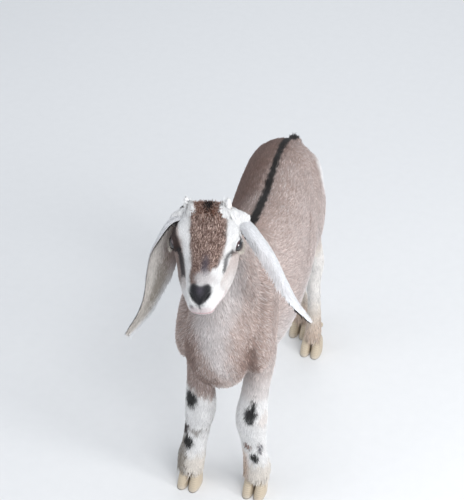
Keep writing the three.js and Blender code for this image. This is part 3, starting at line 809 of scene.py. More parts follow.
def bare_skin(q):
    """Where the head is bare: the nose pad, the lips and the rims of the lids, each from 0 to 1."""
    x, y, z = q.T
    d = down_face(q)
    half = np.interp(d, [44, 46, 49, 53, 57, 61, 65, 68, 70, 73],
                     [5, 10, 12.6, 13.0, 12.2, 10.4, 7.6, 4.4, 1.6, 1.2])
    top = 45 + 3.2 * bump(x - 1.0, 5)
    pad = inside(np.maximum(np.abs(x - 0.5) - half, np.maximum(top - d, d - 74)), 2.8)
    pad = pad * (y < -54) * (z > -27)
    off = np.abs(z - np.interp(y, MOUTH[:, 0], MOUTH[:, 1]))
    lips = inside(off - np.interp(y, [-84, -70, -50, -42], [4.0, 3.0, 1.4, 1.0]), 2.4) * inside(y + 44, 3)
    lips = np.maximum(lips, 0.4 * inside(72.5 - d, 2.5) * (y < -66) * (z > -34) * inside(np.abs(x) - 12, 3))
    rims = np.zeros(len(q))
    for sign in (1, -1):
        at, out, level, up = eye_axes(sign)
        away = q - at
        f = almond(away, out, level, up)[0]
        rims = np.maximum(rims, inside(f - 1.28, 0.25) * (length_of(away) < 16) * (away @ out > 0))
    return pad, lips * (1 - pad), rims


def markings(p, jitter, c):
    """Colour of skin and coat at points in the part's millimetres, and how bare the skin is there.

    Every mark is a distance to a line, a band or an ellipsoid, softened over its own edge and made ragged
    by a little noise, and later marks lie over earlier ones.
    """
    x, y, z = p.T
    q = to_head(p)
    ragged = 1.6 * ripple(p, 9, 1) + jitter
    flank = to_line(p, [(52, 179, 362), (57, 163, 349), (62, 141, 327), (64, 130, 318)])[0]
    heights = [220, 250, 280, 318, 357, 400, 440]
    centre = np.interp(z, heights, [31, 28, 23, 13, 4, 3, 3])
    half = np.interp(z, heights, [-14, -8, 3, 11, 22, 26, 24])
    front = inside(y + 30, 14)
    limb, hind = (z < 262) & (y < 60), y > 216
    on_left, on_right = limb & (x > 0), limb & (x < 0)
    white_top = np.where(x > 0, 226 + 0.3 * (x - 40), 178 - 0.6 * (x + 42))
    chest_spots = [((-24, -76, 306), (15, 30, 38)), ((-6, -76, 262), (17, 30, 20)),
                   ((43, -52, 290), (11, 24, 24))]
    leg_spots = [("black", (35, -17, 166), (8.5, 10, 14), 3.0), ("black", (39, -17, 183), (3.0, 8, 12), 3.0),
                 ("black", (-51, -14, 166), (10, 10, 14.5), 3.0),
                 ("dark_brown", (-60, -9, 104), (5, 9, 13), 2.5), ("black", (39, -11, 78), (7.5, 9, 9), 2.2),
                 ("grey", (46, -9, 98), (3, 8, 9), 3.0), ("black", (-55, -15, 84), (8, 9, 11), 2.2),
                 ("rust", (29, -12, 101), (5.5, 9, 5), 3.5)]
    tone = painted(np.tile(c["fawn"], (len(p), 1)), c, [
        ("pale_fawn", 0.25 + 0.2 * ripple(p, 60, 2)),
        ("brown", 0.30 * inside(to_line(p, DORSAL, 80)[0] - 24, 30)),
        # painted light: the goat's left flank, facing the key light, is painted paler
        ("pale_fawn", 0.45 * inside(34 - x, 26) * inside(30 - y, 30)),
        # partly a real brown side and partly painted shade: the goat's right side, away from the key light,
        # is painted darker
        ("brown", 0.92 * inside(x + 13 - 0.03 * y + 2 * ragged, 20) * inside(300 - z, 40)
         * inside(y - 300, 20) * inside(20 - y, 40)),
        # painted shade: a brown line down the groove between the left flank and the thigh
        ("brown", 0.45 * inside(flank - 3.5 + 0.5 * ragged, 4)),
        ("pale_fawn", 0.75 * inside(240 - y, 30) * inside(z - 350, 40) * (x > -14)),
        ("pale_grey", 0.6 * inside(z - 292 + 2 * ragged, 44) * inside(20 - y, 24) * inside(y - 250, 20)),
        ("white", 0.6 * inside(z - 256 + 2 * ragged, 24) * inside(10 - y, 14) * inside(y - 250, 20)),
        *[("white", 0.9 * inside(spot(p, (at, 292, 358), (19, 16, 36)) + ragged, 8) * (y > 256))
          for at in (34, -62)],
        ("fawn", 0.6 * front * inside(z - 420, 20)),
        ("pale_grey", 0.85 * front * inside(np.abs(x - centre) - half + 1.5 * ragged, 12)
         * inside(z - 456, 20)),
        *[("brown", 0.8 * inside(spot(p, at, radii) + 2 * ragged, 12)) for at, radii in chest_spots],
        # partly painted shade: the goat's right foreleg and chest side, away from the key light, are browner
        ("brown", 0.35 * limb * (x < 0)),
        ("white", 0.97 * inside(z - white_top + 2.0 * ragged, np.where(x > 0, 26, 8)) * limb),
        ("cheek", 0.6 * limb * (x > 0) * inside(192 - z, 14)),
        ("cream", 0.8 * inside(z - 60 + 2 * ragged, 14) * limb),
        # painted shade: ginger down the inner side of the left cannon, the side turned from the light
        ("ginger", 0.55 * on_left * inside(x - 29, 6) * inside(z - 84 + ragged, 12)),
        ("ginger", 0.2 * on_left * inside(spot(p, (51, -8, 154), (7, 12, 12)) + ragged, 6)),
        # painted shade: olive down the outer side of the right cannon, turned from the light
        ("olive", 0.75 * on_right * inside(x + 57 + ragged, 4) * inside(z - 92, 10)),
        ("olive", 0.6 * on_right * inside(spot(p, (-42, -15, 105), (11, 9, 6)) + ragged, 4)),
        *[(name, 0.97 * inside(spot(p, at, radii) + 0.55 * ragged, edge))
          for name, at, radii, edge in leg_spots],
        ("cream", 0.9 * inside(z - 236 + 3 * ragged, 34) * hind),
        ("white", 0.65 * inside(np.abs(z - 150) - 60 + 2 * ragged, 24) * hind),
        ("ginger", 0.4 * inside(z - 62 + 2 * ragged, 24) * hind),
        # painted shade: ginger on the goat's right hind leg, which stands in shade
        ("ginger", 0.4 * inside(x + 10, 8) * hind * inside(z - 200, 30))])
    grain = smoothstep(0.78, 0.5, tone.mean(1)) * smoothstep(0.2, 0.4, tone.mean(1))
    gap, t = to_line(p * (1, 1, 0.35), np.multiply(DORSAL, (1, 1, 0.35)), 120)
    width = np.interp(t, [0, 0.12, 0.3, 0.45, 0.6, 0.75, 1.0], [7, 6.0, 4.8, 4.6, 5.4, 6.6, 8])
    on_tail = (y > 296) & (z > 272)
    tone = painted(tone, c, [
        ("white", np.clip(0.14 * jitter, 0, 0.3) * grain),
        ("brown", np.clip(-0.2 * jitter, 0, 0.5) * grain),
        ("black", 0.97 * inside(gap - width + 0.35 * ragged, 1.8) * (z > 350)),
        ("black", 0.85 * on_tail * inside(np.abs(x + 14) - 5 + ragged, 4) * inside(312 - y, 6))])

    side = np.abs(q[:, 0])
    head = smoothstep(44, 34, q[:, 1] + 0.62 * np.minimum(q[:, 2] + 6, 0)) * (side < 50) * (q[:, 2] > -58)
    on = head > 0.01
    bare = np.zeros(len(p))
    if on.any():
        f = q[on]
        pad, lips, rims = bare_skin(f)
        # The nostril slits are carved and also painted black: painted shade inside the openings, on the dark
        # leather.
        nostrils = [to_line(f, NOSTRIL * (sign, 1, 1))[0] for sign in (1, -1)]
        face = painted(face_colour(f, tone[on], ragged[on] * 0.7, jitter[on], c), c, [
            ("nose", pad),
            # painted highlight: a grey sheen laid on the middle of the nose pad
            ("grey", 0.75 * pad * bump(f[:, 0] - 0.5, 4.0) * bump(down_face(f) - 53, 6)),
            *[("black", 0.9 * inside(gap - 2.0, 1.8) * (f[:, 1] < -55)) for gap in nostrils],
            ("pink", 0.85 * lips),
            ("rim", 0.9 * rims)])
        tone[on] = tone[on] * (1 - head[on, None]) + face * head[on, None]
        bare[on] = np.maximum(np.maximum(pad, lips * 0.8), rims)
    ear_root = spot(mirrored(q), (44, 33, 6), (20, 14, 14))
    return painted(tone, c, [("white", 0.95 * inside(ear_root + 0.5 * ragged, 3) * (side > 27))]), bare


def ear_colour(t, across, inner, left, jitter, c):
    """White outside, dimmed and cooled a little as painted shade, with a pink and brown edge on the left ear
    where it
    meets the head. Inside, painted shade: cream over most of the face, a pinkish brown toward the head that
    is partly the ear's own pink, and then an olive cup, bright again along that edge near the tip."""
    noise = 0.05 * jitter
    outer = (1 - inner) * left
    # painted shade: the ears' white is dimmed and cooled
    return painted(np.tile(c["white"] * (0.89, 0.90, 0.93), (len(t), 1)), c, [
        # painted shade over the inside of the ear: cream, then a darkened pinkish brown, then olive in the
        # cup
        ("cream", 0.6 * inner * inside(across - 0.75, 0.3)),
        ("ear_pink", 0.9 * inner * inside(0.1 - across + noise, 0.6) * inside(t - 0.46, 0.2)),
        ("olive", 0.7 * inner * inside(np.abs(across - 0.4) - 0.45 + noise, 0.4)
         * inside(np.abs(t - 0.58) - 0.17 + noise, 0.15)),
        ("olive", 0.45 * inner * inside(across - 0.45 + noise, 0.4) * inside(0.6 - t, 0.2)),
        ("ear_pink", 0.35 * outer * inside(0.7 - across + noise, 0.3) * inside(np.abs(t - 0.45) - 0.2, 0.2)),
        ("dark_brown", 0.4 * outer * inside(0.75 - across + noise, 0.12)
         * inside(np.abs(t - 0.24) - 0.05 + 0.3 * noise, 0.05))])


def tufts(name, roots, normals, lies, length, width, lift, tone, uv, rng):
    """Tufts of hair as thin closed spikes of three sides.

    Each starts a little under the skin, lies along its own way and rises with the lift: half way along it
    stands at 0.62 lift x length over the root's plane, and its tip at lift x length.
    """
    n = len(roots)
    lies = unit(level_with(lies, normals))
    side = np.cross(normals, lies)
    sway = rng.normal(0, 0.12, n)[:, None]
    long, wide = length[:, None], width[:, None]
    rise = lift[:, None] * long
    way = unit(lies + side * sway)
    bend = side * (rng.normal(0, 0.08, n)[:, None] * long)
    base = roots - normals * ROOT_DEPTH
    mid = roots + way * 0.5 * long + normals * 0.62 * rise
    tip = roots + way * long + normals * rise + bend
    points = np.stack([base - side * wide / 2, base + side * wide / 2,
                       base + normals * 0.3 * wide - way * 0.3 * wide, mid - side * wide * 0.42,
                       mid + side * wide * 0.42, mid + normals * 0.26 * wide, tip], 1)
    pattern = np.array([[0, 2, 1], [0, 1, 4], [0, 4, 3], [1, 2, 5], [1, 5, 4], [2, 0, 3], [2, 3, 5],
                        [3, 4, 6], [4, 5, 6], [5, 3, 6]])
    pattern = outward(points[0] - points[0].mean(0), pattern)
    faces = (pattern[None] + 7 * np.arange(n)[:, None, None]).reshape(-1, 3)
    made = mesh_object(name, from_part(points.reshape(-1, 3)), faces)
    fade = np.array([0.80, 0.80, 0.84, 0.97, 0.97, 1.0, 1.10])
    store_tone(made.data, (tone[:, None] * fade[None, :, None]).reshape(-1, 3))
    patch = np.array([[0, 0], [1, 0], [0.5, 0.2], [0.1, 0.6], [0.9, 0.6], [0.5, 0.7], [0.5, 1]])
    patch = BAKE_PATCH * patch - BAKE_PATCH / 2
    store_map(made.data, "OFBake", (uv[:, None] + patch[None]).reshape(-1, 2), faces)
    own = unit(np.cross(points[:, 4] - points[:, 3], points[:, 6] - points[:, 3]))
    own = np.where((own * normals).sum(1, keepdims=True) < 0, -own, own)
    soft = unit(normals[:, None] * 0.8 + own[:, None] * 0.45 + side[:, None] * 0.35
                * np.array([-1, 1, 0, -1, 1, 0, 0])[None, :, None])
    made.data.normals_split_custom_set_from_vertices(soft.reshape(-1, 3).tolist())
    return made


def scattered(points, faces, density, count, rng):
    """Count roots spread over the faces by area times density: face numbers and corner weights."""
    a, b, c = (points[faces[:, k]] for k in range(3))
    area = 0.5 * length_of(np.cross(b - a, c - a))
    total = np.cumsum(area * density)
    pick = np.searchsorted(total, (np.arange(count) + rng.random(count)) / count * total[-1])
    pick = np.minimum(pick, len(faces) - 1)
    u, v = rng.random(count), rng.random(count)
    flip = u + v > 1
    u, v = np.where(flip, 1 - u, u), np.where(flip, 1 - v, v)
    return pick, np.stack([1 - u - v, u, v], 1)


def varied(rng, spread, count):
    """Random factors about one, whose logarithms have that spread."""
    return np.exp(rng.normal(0, spread, count))


class Wire:
    """One output of a shader graph, to which numbers or other outputs are added and so on, as to a number."""

    def __init__(self, graph, socket):
        self.graph, self.socket = graph, socket

    def maths(self, operation, first, second):
        return self.graph.node("ShaderNodeMath", {"operation": operation}, {0: first, 1: second})

    def __add__(self, other):
        return self.maths("ADD", self, other)

    def __sub__(self, other):
        return self.maths("SUBTRACT", self, other)

    def __mul__(self, other):
        return self.maths("MULTIPLY", self, other)

    def __pow__(self, other):
        return self.maths("POWER", self, other)


def rgba(colour, factor=1.0):
    return (*(np.asarray(colour) * factor), 1)


class Graph:
    """A material and its node tree, with one method that makes any node."""

    def __init__(self, name):
        self.material = bpy.data.materials.new(name)
        self.material.use_nodes = True
        self.tree = self.material.node_tree
        self.tree.nodes.clear()

    def node(self, kind, settings=None, values=None, out=0):
        made = self.tree.nodes.new(kind)
        for key, value in (settings or {}).items():
            setattr(made, key, value)
        for key, value in (values or {}).items():
            if isinstance(value, Wire):
                self.tree.links.new(value.socket, made.inputs[key])
            else:
                made.inputs[key].default_value = value
        return Wire(self, made.outputs[out]) if made.outputs else None

    def place(self):
        return self.node("ShaderNodeTexCoord", out="Object")

    def read(self, name, out="Fac"):
        return self.node("ShaderNodeAttribute", {"attribute_name": name}, out=out)

    def noise(self, place, scale, detail=3.0, rough=0.55):
        return self.node("ShaderNodeTexNoise", {}, {"Vector": place, "Scale": scale, "Detail": detail,
                                                    "Roughness": rough})

    def ramp(self, value, low, high, to_low, to_high):
        return self.node("ShaderNodeMapRange", {"interpolation_type": "SMOOTHSTEP"},
                         {0: value, 1: low, 2: high, 3: to_low, 4: to_high})

    def mix(self, share, first, second, kind="MIX"):
        return self.node("ShaderNodeMix", {"data_type": "RGBA", "blend_type": kind},
                         {0: share, 6: first, 7: second}, out=2)

    def split(self, vector):
        """The three parts of a vector."""
        made = self.tree.nodes.new("ShaderNodeSeparateXYZ")
        self.tree.links.new(vector.socket, made.inputs[0])
        return [Wire(self, output) for output in made.outputs]

    def scaled(self, vector, factor):
        return self.node("ShaderNodeVectorMath", {"operation": "SCALE"}, {0: vector, 3: factor})

    def bumped(self, height, strength, distance, normal=None):
        values = {"Height": height, "Strength": strength, "Distance": distance}
        if normal:
            values["Normal"] = normal
        return self.node("ShaderNodeBump", {}, values)

    def finish(self, **values):
        values = {name.replace("_", " "): value for name, value in values.items()}
        surface = self.node("ShaderNodeBsdfPrincipled", {}, values)
        self.node("ShaderNodeOutputMaterial", {}, {"Surface": surface})
        return self.material


def hide_material():
    """Skin under the coat: its stored marks, short hairs as streaks along their lie, and glossy wet leather
    with fine creases where it is bare, the creases painted darker as shade."""
    g = Graph("hide")
    place = g.place()
    tone, bare, comb = g.read("tone", "Color"), g.read("bare"), g.read("comb", "Vector")
    dot = g.node("ShaderNodeVectorMath", {"operation": "DOT_PRODUCT"}, {0: place, 1: comb}, out="Value")
    along_hair = g.scaled(comb, dot * 0.82)
    flat = g.node("ShaderNodeVectorMath", {"operation": "SUBTRACT"}, {0: place, 1: along_hair})
    hairs = g.noise(flat, 900.0, 4.0, 0.7)
    patches = g.noise(place, 70.0, 3.0)
    shade = g.mix(1.0, tone, g.mix(hairs, (0.55, 0.53, 0.52, 1), (1.12, 1.12, 1.12, 1)), "MULTIPLY")
    shade = g.mix(patches * 0.25, shade, g.mix(0.5, shade, (0.9, 0.86, 0.8, 1), "MULTIPLY"))
    leather = g.node("ShaderNodeTexVoronoi", {"feature": "DISTANCE_TO_EDGE"},
                     {"Vector": place, "Scale": 900.0})
    crease = g.ramp(leather, 0.0, 0.25, 0.0, 1.0)
    fur = g.bumped(hairs, 0.55, 0.0012)
    wet = g.bumped(crease * bare, 0.35, 0.0004, fur)
    # painted shade: the bare leather is darker in its fine creases
    crease_shade = g.mix(crease, (0.7, 0.7, 0.7, 1), (1.1, 1.1, 1.1, 1))
    return g.finish(Base_Color=g.mix(bare, shade, g.mix(1.0, tone, crease_shade, "MULTIPLY")),
                    Roughness=g.ramp(bare + hairs * 0.1, 0.0, 1.0, 0.78, 0.36), Normal=wet,
                    Specular_IOR_Level=0.25, Sheen_Weight=0.04, Sheen_Roughness=0.5)


def coat_material():
    """Tufts: their stored colour with the darker and paler hairs of a real coat and fine lines along them."""
    g = Graph("coat")
    place = g.place()
    tone = g.read("tone", "Color")
    fine = g.noise(place, 1400.0, 3.0, 0.7)
    broad = g.noise(place, 120.0, 3.0)
    shade = g.mix(1.0, tone, g.mix(fine, (0.74, 0.73, 0.72, 1), (1.22, 1.22, 1.22, 1)), "MULTIPLY")
    shade = g.mix(broad * 0.3, shade, g.mix(1.0, shade, (0.86, 0.83, 0.80, 1), "MULTIPLY"))
    return g.finish(Base_Color=shade, Roughness=g.ramp(fine, 0.2, 0.8, 0.52, 0.72),
                    Normal=g.bumped(fine, 0.3, 0.0005), Specular_IOR_Level=0.18, Sheen_Weight=0.06,
                    Sheen_Roughness=0.45)


def eye_material(colours):
    """A dark wet eye on its disc map: level slot pupil, brown iris with fine rays, black rim, clear coat."""
    g = Graph("wet_eye")
    disc = g.node("ShaderNodeUVMap", {"uv_map": "disc"})
    x, y = (part - 0.5 for part in g.split(disc)[:2])
    r = (x * x + y * y) ** 0.5
    slot = (x * 4.6) ** 4.0 + (y * 11.0) ** 4.0
    pupil = g.ramp(slot, 0.8, 1.3, 1.0, 0.0)
    angle = g.node("ShaderNodeMath", {"operation": "ARCTAN2"}, {0: y, 1: x})
    ray_place = g.node("ShaderNodeCombineXYZ", {}, {0: angle * 9.0, 1: r * 4.0})
    rays = g.noise(ray_place, 2.6, 4.0, 0.6)
    iris = g.mix(rays, rgba(colours["iris"], 0.35), rgba(colours["iris"], 1.5))
    edge = g.ramp(r, 0.24, 0.31, 0.0, 1.0)
    colour = g.mix(edge, iris, (0.012, 0.010, 0.012, 1))
    white = g.ramp(r, 0.40, 0.46, 0.0, 1.0)
    colour = g.mix(white, colour, (0.35, 0.27, 0.24, 1))
    colour = g.mix(pupil, colour, (0.004, 0.004, 0.006, 1))
    return g.finish(Base_Color=colour, Roughness=g.ramp(rays, 0.0, 1.0, 0.10, 0.22),
                    Normal=g.bumped(rays, 0.08, 0.0003), Coat_Weight=1.0, Coat_Roughness=0.03, IOR=1.38)


def hoof_material(colours):
    """Pale hoof horn: growth rings round the wall, fine upright lines, a worn and dusty lower edge."""
    g = Graph("hoof_horn")
    place = g.place()
    z = g.split(place)[2]
    wobble = g.noise(place, 90.0, 2.0)
    level = g.node("ShaderNodeCombineXYZ", {}, {2: z + wobble * 0.003})
    rings = g.node("ShaderNodeTexWave", {"wave_type": "BANDS", "bands_direction": "Z"},
                   {"Vector": level, "Scale": 120.0, "Distortion": 1.2, "Detail": 2.0}, out="Fac")
    tall = g.node("ShaderNodeMapping", {}, {"Vector": place, "Scale": (1.0, 1.0, 0.12)})
    lines = g.noise(tall, 900.0, 3.0, 0.6)
    colour = g.mix(rings * 0.4 + lines * 0.6, rgba(colours["hoof"], 0.62), rgba(colours["hoof"], 1.12))
    dust = g.ramp(z + wobble * 0.004, 0.002, 0.009, 0.6, 0.0)
    colour = g.mix(dust, colour, rgba(colours["cream"], 0.75))
    return g.finish(Base_Color=colour, Roughness=g.ramp(dust + lines * 0.2, 0.0, 0.8, 0.45, 0.8),
                    Normal=g.bumped(rings + lines * 0.5, 0.35, 0.0006), Specular_IOR_Level=0.4)


def floor_material(tint):
    """A plain pale studio floor with a barely seen grain."""
    g = Graph("studio_floor")
    grain = g.noise(g.place(), 60.0, 4.0)
    colour = g.mix(grain, rgba(tint, 0.97), rgba(tint, 1.02))
    return g.finish(Base_Color=colour, Roughness=g.ramp(grain, 0.0, 1.0, 0.7, 0.85),
                    Normal=g.bumped(grain, 0.05, 0.001))


# What the coat needs of the skin: its points, faces, normals and bareness, and the ears' sheets
BODY = {}


def make_skin(colours, voxel):
    """One skin over the whole animal with its folds and lids, and the ears' sheets joined to it."""
    mesh, p = build_skin(voxel)
    faces = triangles_of(mesh)
    tone, bare = markings(p, np.zeros(len(p)), colours)
    sets, tones, bares, lies, ears = [(p, faces)], [tone], [bare], [hair_field(p)[0]], []
    for which in EARS:
        outer, inner, t, across = ear_sheet(which)
        sets.append(sheet_shell(outer, inner))
        ears.append((which, outer, inner, t, across))
        grid_t, grid_a = np.repeat(t, len(across)), np.tile(across, len(t))
        for is_inner in (0.0, 1.0):
            tones.append(ear_colour(grid_t, grid_a, is_inner, which == "left", 0 * grid_t, colours))
            bares.append(0.25 * is_inner * inside(np.abs(grid_a) - 0.6, 0.3))
            lies.append(unit(np.gradient(outer, axis=0)).reshape(-1, 3))
    points, all_faces = joined(sets)
    bpy.data.meshes.remove(mesh)
    made = mesh_object("skin", from_part(points), all_faces)
    store_tone(made.data, np.concatenate(tones))
    store(made.data, "bare", "FLOAT", np.concatenate(bares), "value")
    store(made.data, "comb", "FLOAT_VECTOR", unit(np.concatenate(lies)), "vector")
    BODY.update(points=p, faces=faces, normals=normals_of(made.data)[:len(p)], bare=bare, ears=ears)
    return made


REGIONS = ["trunk_left", "trunk_right", "neck", "head", "tail", "foreleg_left", "foreleg_right",
           "hindleg_left", "hindleg_right"]


def region_of(p):
    """Which coat piece each point belongs to, as its number in REGIONS."""
    x, y, z = p.T
    region = np.where(x > -6, 0, 1)
    region[(y < -26) | ((y < 40) & (z > 400))] = 2
    region[(y > 302) & (to_line(p, tail()["path"])[0] < 15)] = 4
    region[(z < 246) & (y < 70)] = 5
    region[(z < 246) & (y < 70) & (x < -8)] = 6
    region[(z < 262) & (y > 150) & (x > 2)] = 7
    region[(z < 262) & (y > 150) & (x <= 2)] = 8
    region[head_share(to_head(p)) > 0.5] = 3
    return region


def unwrapped(p, region):
    """Each root's place on a map of its own piece: the turn round the piece's axis, and the way along it."""
    name = REGIONS[region]
    if name == "head":
        q = to_head(p)
        turned, way, span = np.arctan2(q[:, 0], q[:, 2] + 20), -q[:, 1], (-60, 92)
    elif name.startswith("trunk") or name == "neck":
        turned, way, span = np.arctan2(p[:, 0], p[:, 2] - 330), p[:, 1], (-120, 330)
    else:
        centre = p.mean(0)
        turned, way, span = np.arctan2(p[:, 0] - centre[0], p[:, 1] - centre[1]), p[:, 2], (0, 420)
    u = turned / (2 * np.pi) + 0.5
    v = (way - span[0]) / (span[1] - span[0])
    return np.stack([0.004 + 0.992 * u, np.clip(v, 0.004, 0.996)], 1)


def coat_sizes(p, size, lie, normal):
    """The coat where it differs from its form's own: longer on the brisket, the belly, the thigh backs and
    over the hooves, shorter at the ear roots, and hanging on the chest."""
    x, y, z = p.T
    length, width, lift = size.T
    chest = inside(y + 52, 30) * inside(z - 330, 50) * inside(205 - z, 12)
    belly = inside(normal[:, 2] + 0.35, 0.4) * (z > 195) * (y < 260)
    back = inside(-normal[:, 1] + 0.5, 0.4) * (y > 250) * inside(z - 330, 40)
    length = length * (1 + 0.15 * chest + 0.35 * belly + 0.3 * back)
    lift = lift * (1 + 0.2 * chest + 0.3 * belly + 0.4 * back)
    front = (inside(y + 22, 20) * inside(z - 400, 20) * inside(200 - z, 10))[:, None]
    fall = np.stack([0.012 * (x - 4), 0.25 * np.abs(x) / 45, np.full(len(x), -1.0)], 1)
    lie = lie * (1 - front) + fall * front
    lie = lie + np.stack([0 * x, 0 * x, -0.6 * back], 1)
    root = inside(spot(mirrored(to_head(p)), (44, 32, 4), (18, 14, 14)), 4)
    length, lift = length * (1 - 0.35 * root), lift * (1 - 0.4 * root)
    foot = inside(z - 36, 5)
    length = length * (1 + 1.5 * foot)
    lie = lie * (1 - foot[:, None]) + np.array([0, -0.15, -1.0]) * foot[:, None]
    return lie, length, width, lift


def make_coat(number, colours, count, seed):
    """The tufts of one region, spread by area over the skin and laid along its lie."""
    rng = np.random.default_rng(seed)
    p, faces, normals = BODY["points"], BODY["faces"], BODY["normals"]
    centre = p[faces].mean(1)
    density = (region_of(centre) == number) * (1 - np.clip(BODY["bare"][faces].max(1) * 1.6, 0, 1))
    density = density * (1 + 1.4 * (REGIONS[number] == "head") * smoothstep(-20, -60, to_head(centre)[:, 1]))
    pick, weight = scattered(p, faces, density, count, rng)
    corners = faces[pick]
    roots = (p[corners] * weight[..., None]).sum(1)
    normal = unit((normals[corners] * weight[..., None]).sum(1))
    lie, size = hair_field(roots)
    lie = unit(lie) + 0.10 * np.stack([ripple(roots, 42, k) for k in (31, 32, 33)], 1)
    lie, length, width, lift = coat_sizes(roots, size, lie, normal)
    jitter = rng.normal(0, 1.1, count)
    tone, _ = markings(roots, jitter, colours)
    plain = smoothstep(0.35, 0.75, tone.mean(1))
    shift = rng.normal(0, 1, count) * (0.17 - 0.12 * plain) + 0.05 * ripple(roots, 14, 5)
    tone = tone * np.exp(shift)[:, None]
    length = np.minimum(length * varied(rng, 0.22, count), 0.9 * roots[:, 2] - 7)
    lift = lift * varied(rng, 0.25, count) * (1 + 0.15 * ripple(roots, 18, 6))
    width = width * varied(rng, 0.15, count)
    return tufts("coat_" + REGIONS[number], roots, normal, lie, length, width, lift, np.clip(tone, 0, 1),
                 unwrapped(roots, number), rng)


def make_ear_coat(colours, count, seed):
    """The tufts of both ears: short on the back of the sheet, longer at rim and tip, sparse in the cup, with
    a fringe along the edge of the left ear that lies toward the head."""
    rng = np.random.default_rng(seed)
    sets = []
    share = count // 4
    for k, (which, outer, inner, t, across) in enumerate(BODY["ears"]):
        for j, sheet in enumerate((outer, inner)):
            rows, columns = sheet.shape[:2]
            faces = grid_faces(rows, columns)
            grid_t, grid_a = np.repeat(t, columns), np.tile(across, rows)
            down, over = np.gradient(sheet, axis=0), np.gradient(sheet, axis=1)
            normal = unit(np.cross(down, over))
            away = (outer - inner) * (1 if j == 0 else -1)
            normal = normal * np.sign((normal * away).sum())
            off = np.abs(grid_a[faces].mean(1))
            density = (1 + 0.8 * (off > 0.8)) * (off < np.where(grid_t[faces].mean(1) > 0.72, 1.1, 0.95) + j)
            if j == 1:
                density = density * np.interp(off, [0, 0.5, 0.9], [0.45, 0.6, 1])
            pick, weight = scattered(sheet.reshape(-1, 3), faces, density, share, rng)
            corners = faces[pick]

            def at(values):
                return (values[corners] * (weight[..., None] if values.ndim > 1 else weight)).sum(1)

            roots, n, lie, edgeward = (at(v.reshape(-1, 3)) for v in (sheet, normal, unit(down), unit(over)))
            n, ft, fa = unit(n), at(grid_t), at(grid_a)
            lie = lie + edgeward * np.sign(fa)[:, None] * smoothstep(0.8, 1, np.abs(fa))[:, None] * (0.4 * j)
            tip = smoothstep(0.75, 1, ft)
            rim = smoothstep(0.75, 1, np.abs(fa))
            fringe = ((which == "left") * (j == 0) * smoothstep(0.45, 0.9, fa) * smoothstep(0.12, 0.3, ft)
                      * smoothstep(0.85, 0.6, ft))
            lie = lie + edgeward * (0.9 * fringe)[:, None]
            length = 4.4 + 0.9 * rim + 1.2 * tip + 1.0 * j * (1 - rim) + 4.5 * fringe
            length = length * varied(rng, 0.18, share)
            lift = (0.12 + 0.06 * (j == 1)) * varied(rng, 0.25, share)
            tone = ear_colour(ft, fa, float(j), which == "left", rng.normal(0, 1, share), colours)
            tone = tone * np.exp(rng.normal(0, 0.05, share) + 0.03 * ripple(roots, 10, 8) - 0.03)[:, None]
            uv = np.stack([(fa * 0.48 + 0.5) * 0.49 + 0.5 * k + 0.005, ft * 0.48 + 0.5 * j + 0.008], 1)
            sets.append((roots, n, lie, length, np.full(share, 0.95), lift, np.clip(tone, 0, 1), uv))
    return tufts("coat_ears", *(np.concatenate(v) for v in zip(*sets)), rng)


def make_poll(colours, count, seed):
    """Pale tufts that close in a point over each horn bud, some rooted round it and some on the bud itself,
    with ruddy and black tufts that stand between the buds."""
    rng = np.random.default_rng(seed)
    sign = rng.choice([1, -1], count)
    middle = rng.random(count) < POLL_BETWEEN
    radius = 14.0 * np.sqrt(rng.uniform(0.1, 1, count))
    angle = rng.uniform(0, 2 * np.pi, count)
    x = np.where(middle, rng.uniform(-17, 18, count), sign * 22 + radius * np.cos(angle))
    y = np.where(middle, rng.normal(31, 5, count), 34 + radius * np.sin(angle))
    q = to_head(BODY["points"])
    top = (np.abs(q - (0, 33, 26)).max(1) < 42) & (q[:, 2] > -4)
    cloud, cloud_normals = q[top], BODY["normals"][top] @ HEAD_AXES
    gap = (cloud[None, :, 0] - x[:, None]) ** 2 + (cloud[None, :, 1] - y[:, None]) ** 2
    nearest = gap.argmin(1)
    roots, normal = cloud[nearest], unit(cloud_normals[nearest])
    t = rng.random(count)
    out = np.stack([np.cos(angle), np.sin(angle), 0.2 + 1.2 * t**3], 1)
    bud = np.stack([sign * (20 + 5 * t), 35 + 2 * t, 14 + 18 * t], 1)
    bud = bud + out * (7.6 - 5.0 * t**1.4)[:, None] * (1, 1, 0)
    bud[:, 2] += 2.5 * t**3
    on_bud = ((rng.random(count) < POLL_ON_BUD) & ~middle)[:, None]
    roots = np.where(on_bud, bud, roots + rng.normal(0, 0.3, (count, 3)) * (1, 1, 0))
    normal = np.where(on_bud, unit(out), normal)
    aim = np.stack([sign * 24, np.full(count, 36), np.full(count, 44)], 1)
    aim = np.where(middle[:, None], roots + rng.normal(0, 0.35, (count, 3)) + (0, 0.5, 1), aim)
    way = unit(aim - roots)
    steep = np.clip((way * normal).sum(1), 0.12, 0.85)
    length = np.where(on_bud[:, 0], 5.5, np.interp(radius, [0, 6, 14], [12, 12, 6]))
    length = np.where(middle, np.interp(y, [20, 30, 40], [3.5, 6.5, 5]), length) * varied(rng, 0.15, count)
    ruddy = np.where(rng.random((count, 1)) < 0.4, colours["ticking"], colours["brown"])
    ruddy = 0.5 * colours["rust"] + 0.5 * ruddy
    dark = inside(np.hypot(x - 3, y - 31) - 7 + rng.normal(0, 1.5, count), 3)[:, None]
    ruddy = ruddy * (1 - dark) + colours["black"] * dark
    tone = np.where(middle[:, None], ruddy, colours["white"])
    tone = tone * varied(rng, 0.06, count)[:, None]
    uv = np.stack([0.5 + x / 90, 0.5 + (y - 33) / 60], 1)
    return tufts("coat_poll", from_head(roots), normal @ HEAD_AXES.T,
                 unit(level_with(way, normal)) @ HEAD_AXES.T, length, np.full(count, 1.2), steep,
                 np.clip(tone, 0, 1), np.clip(uv, 0.01, 0.99), rng)


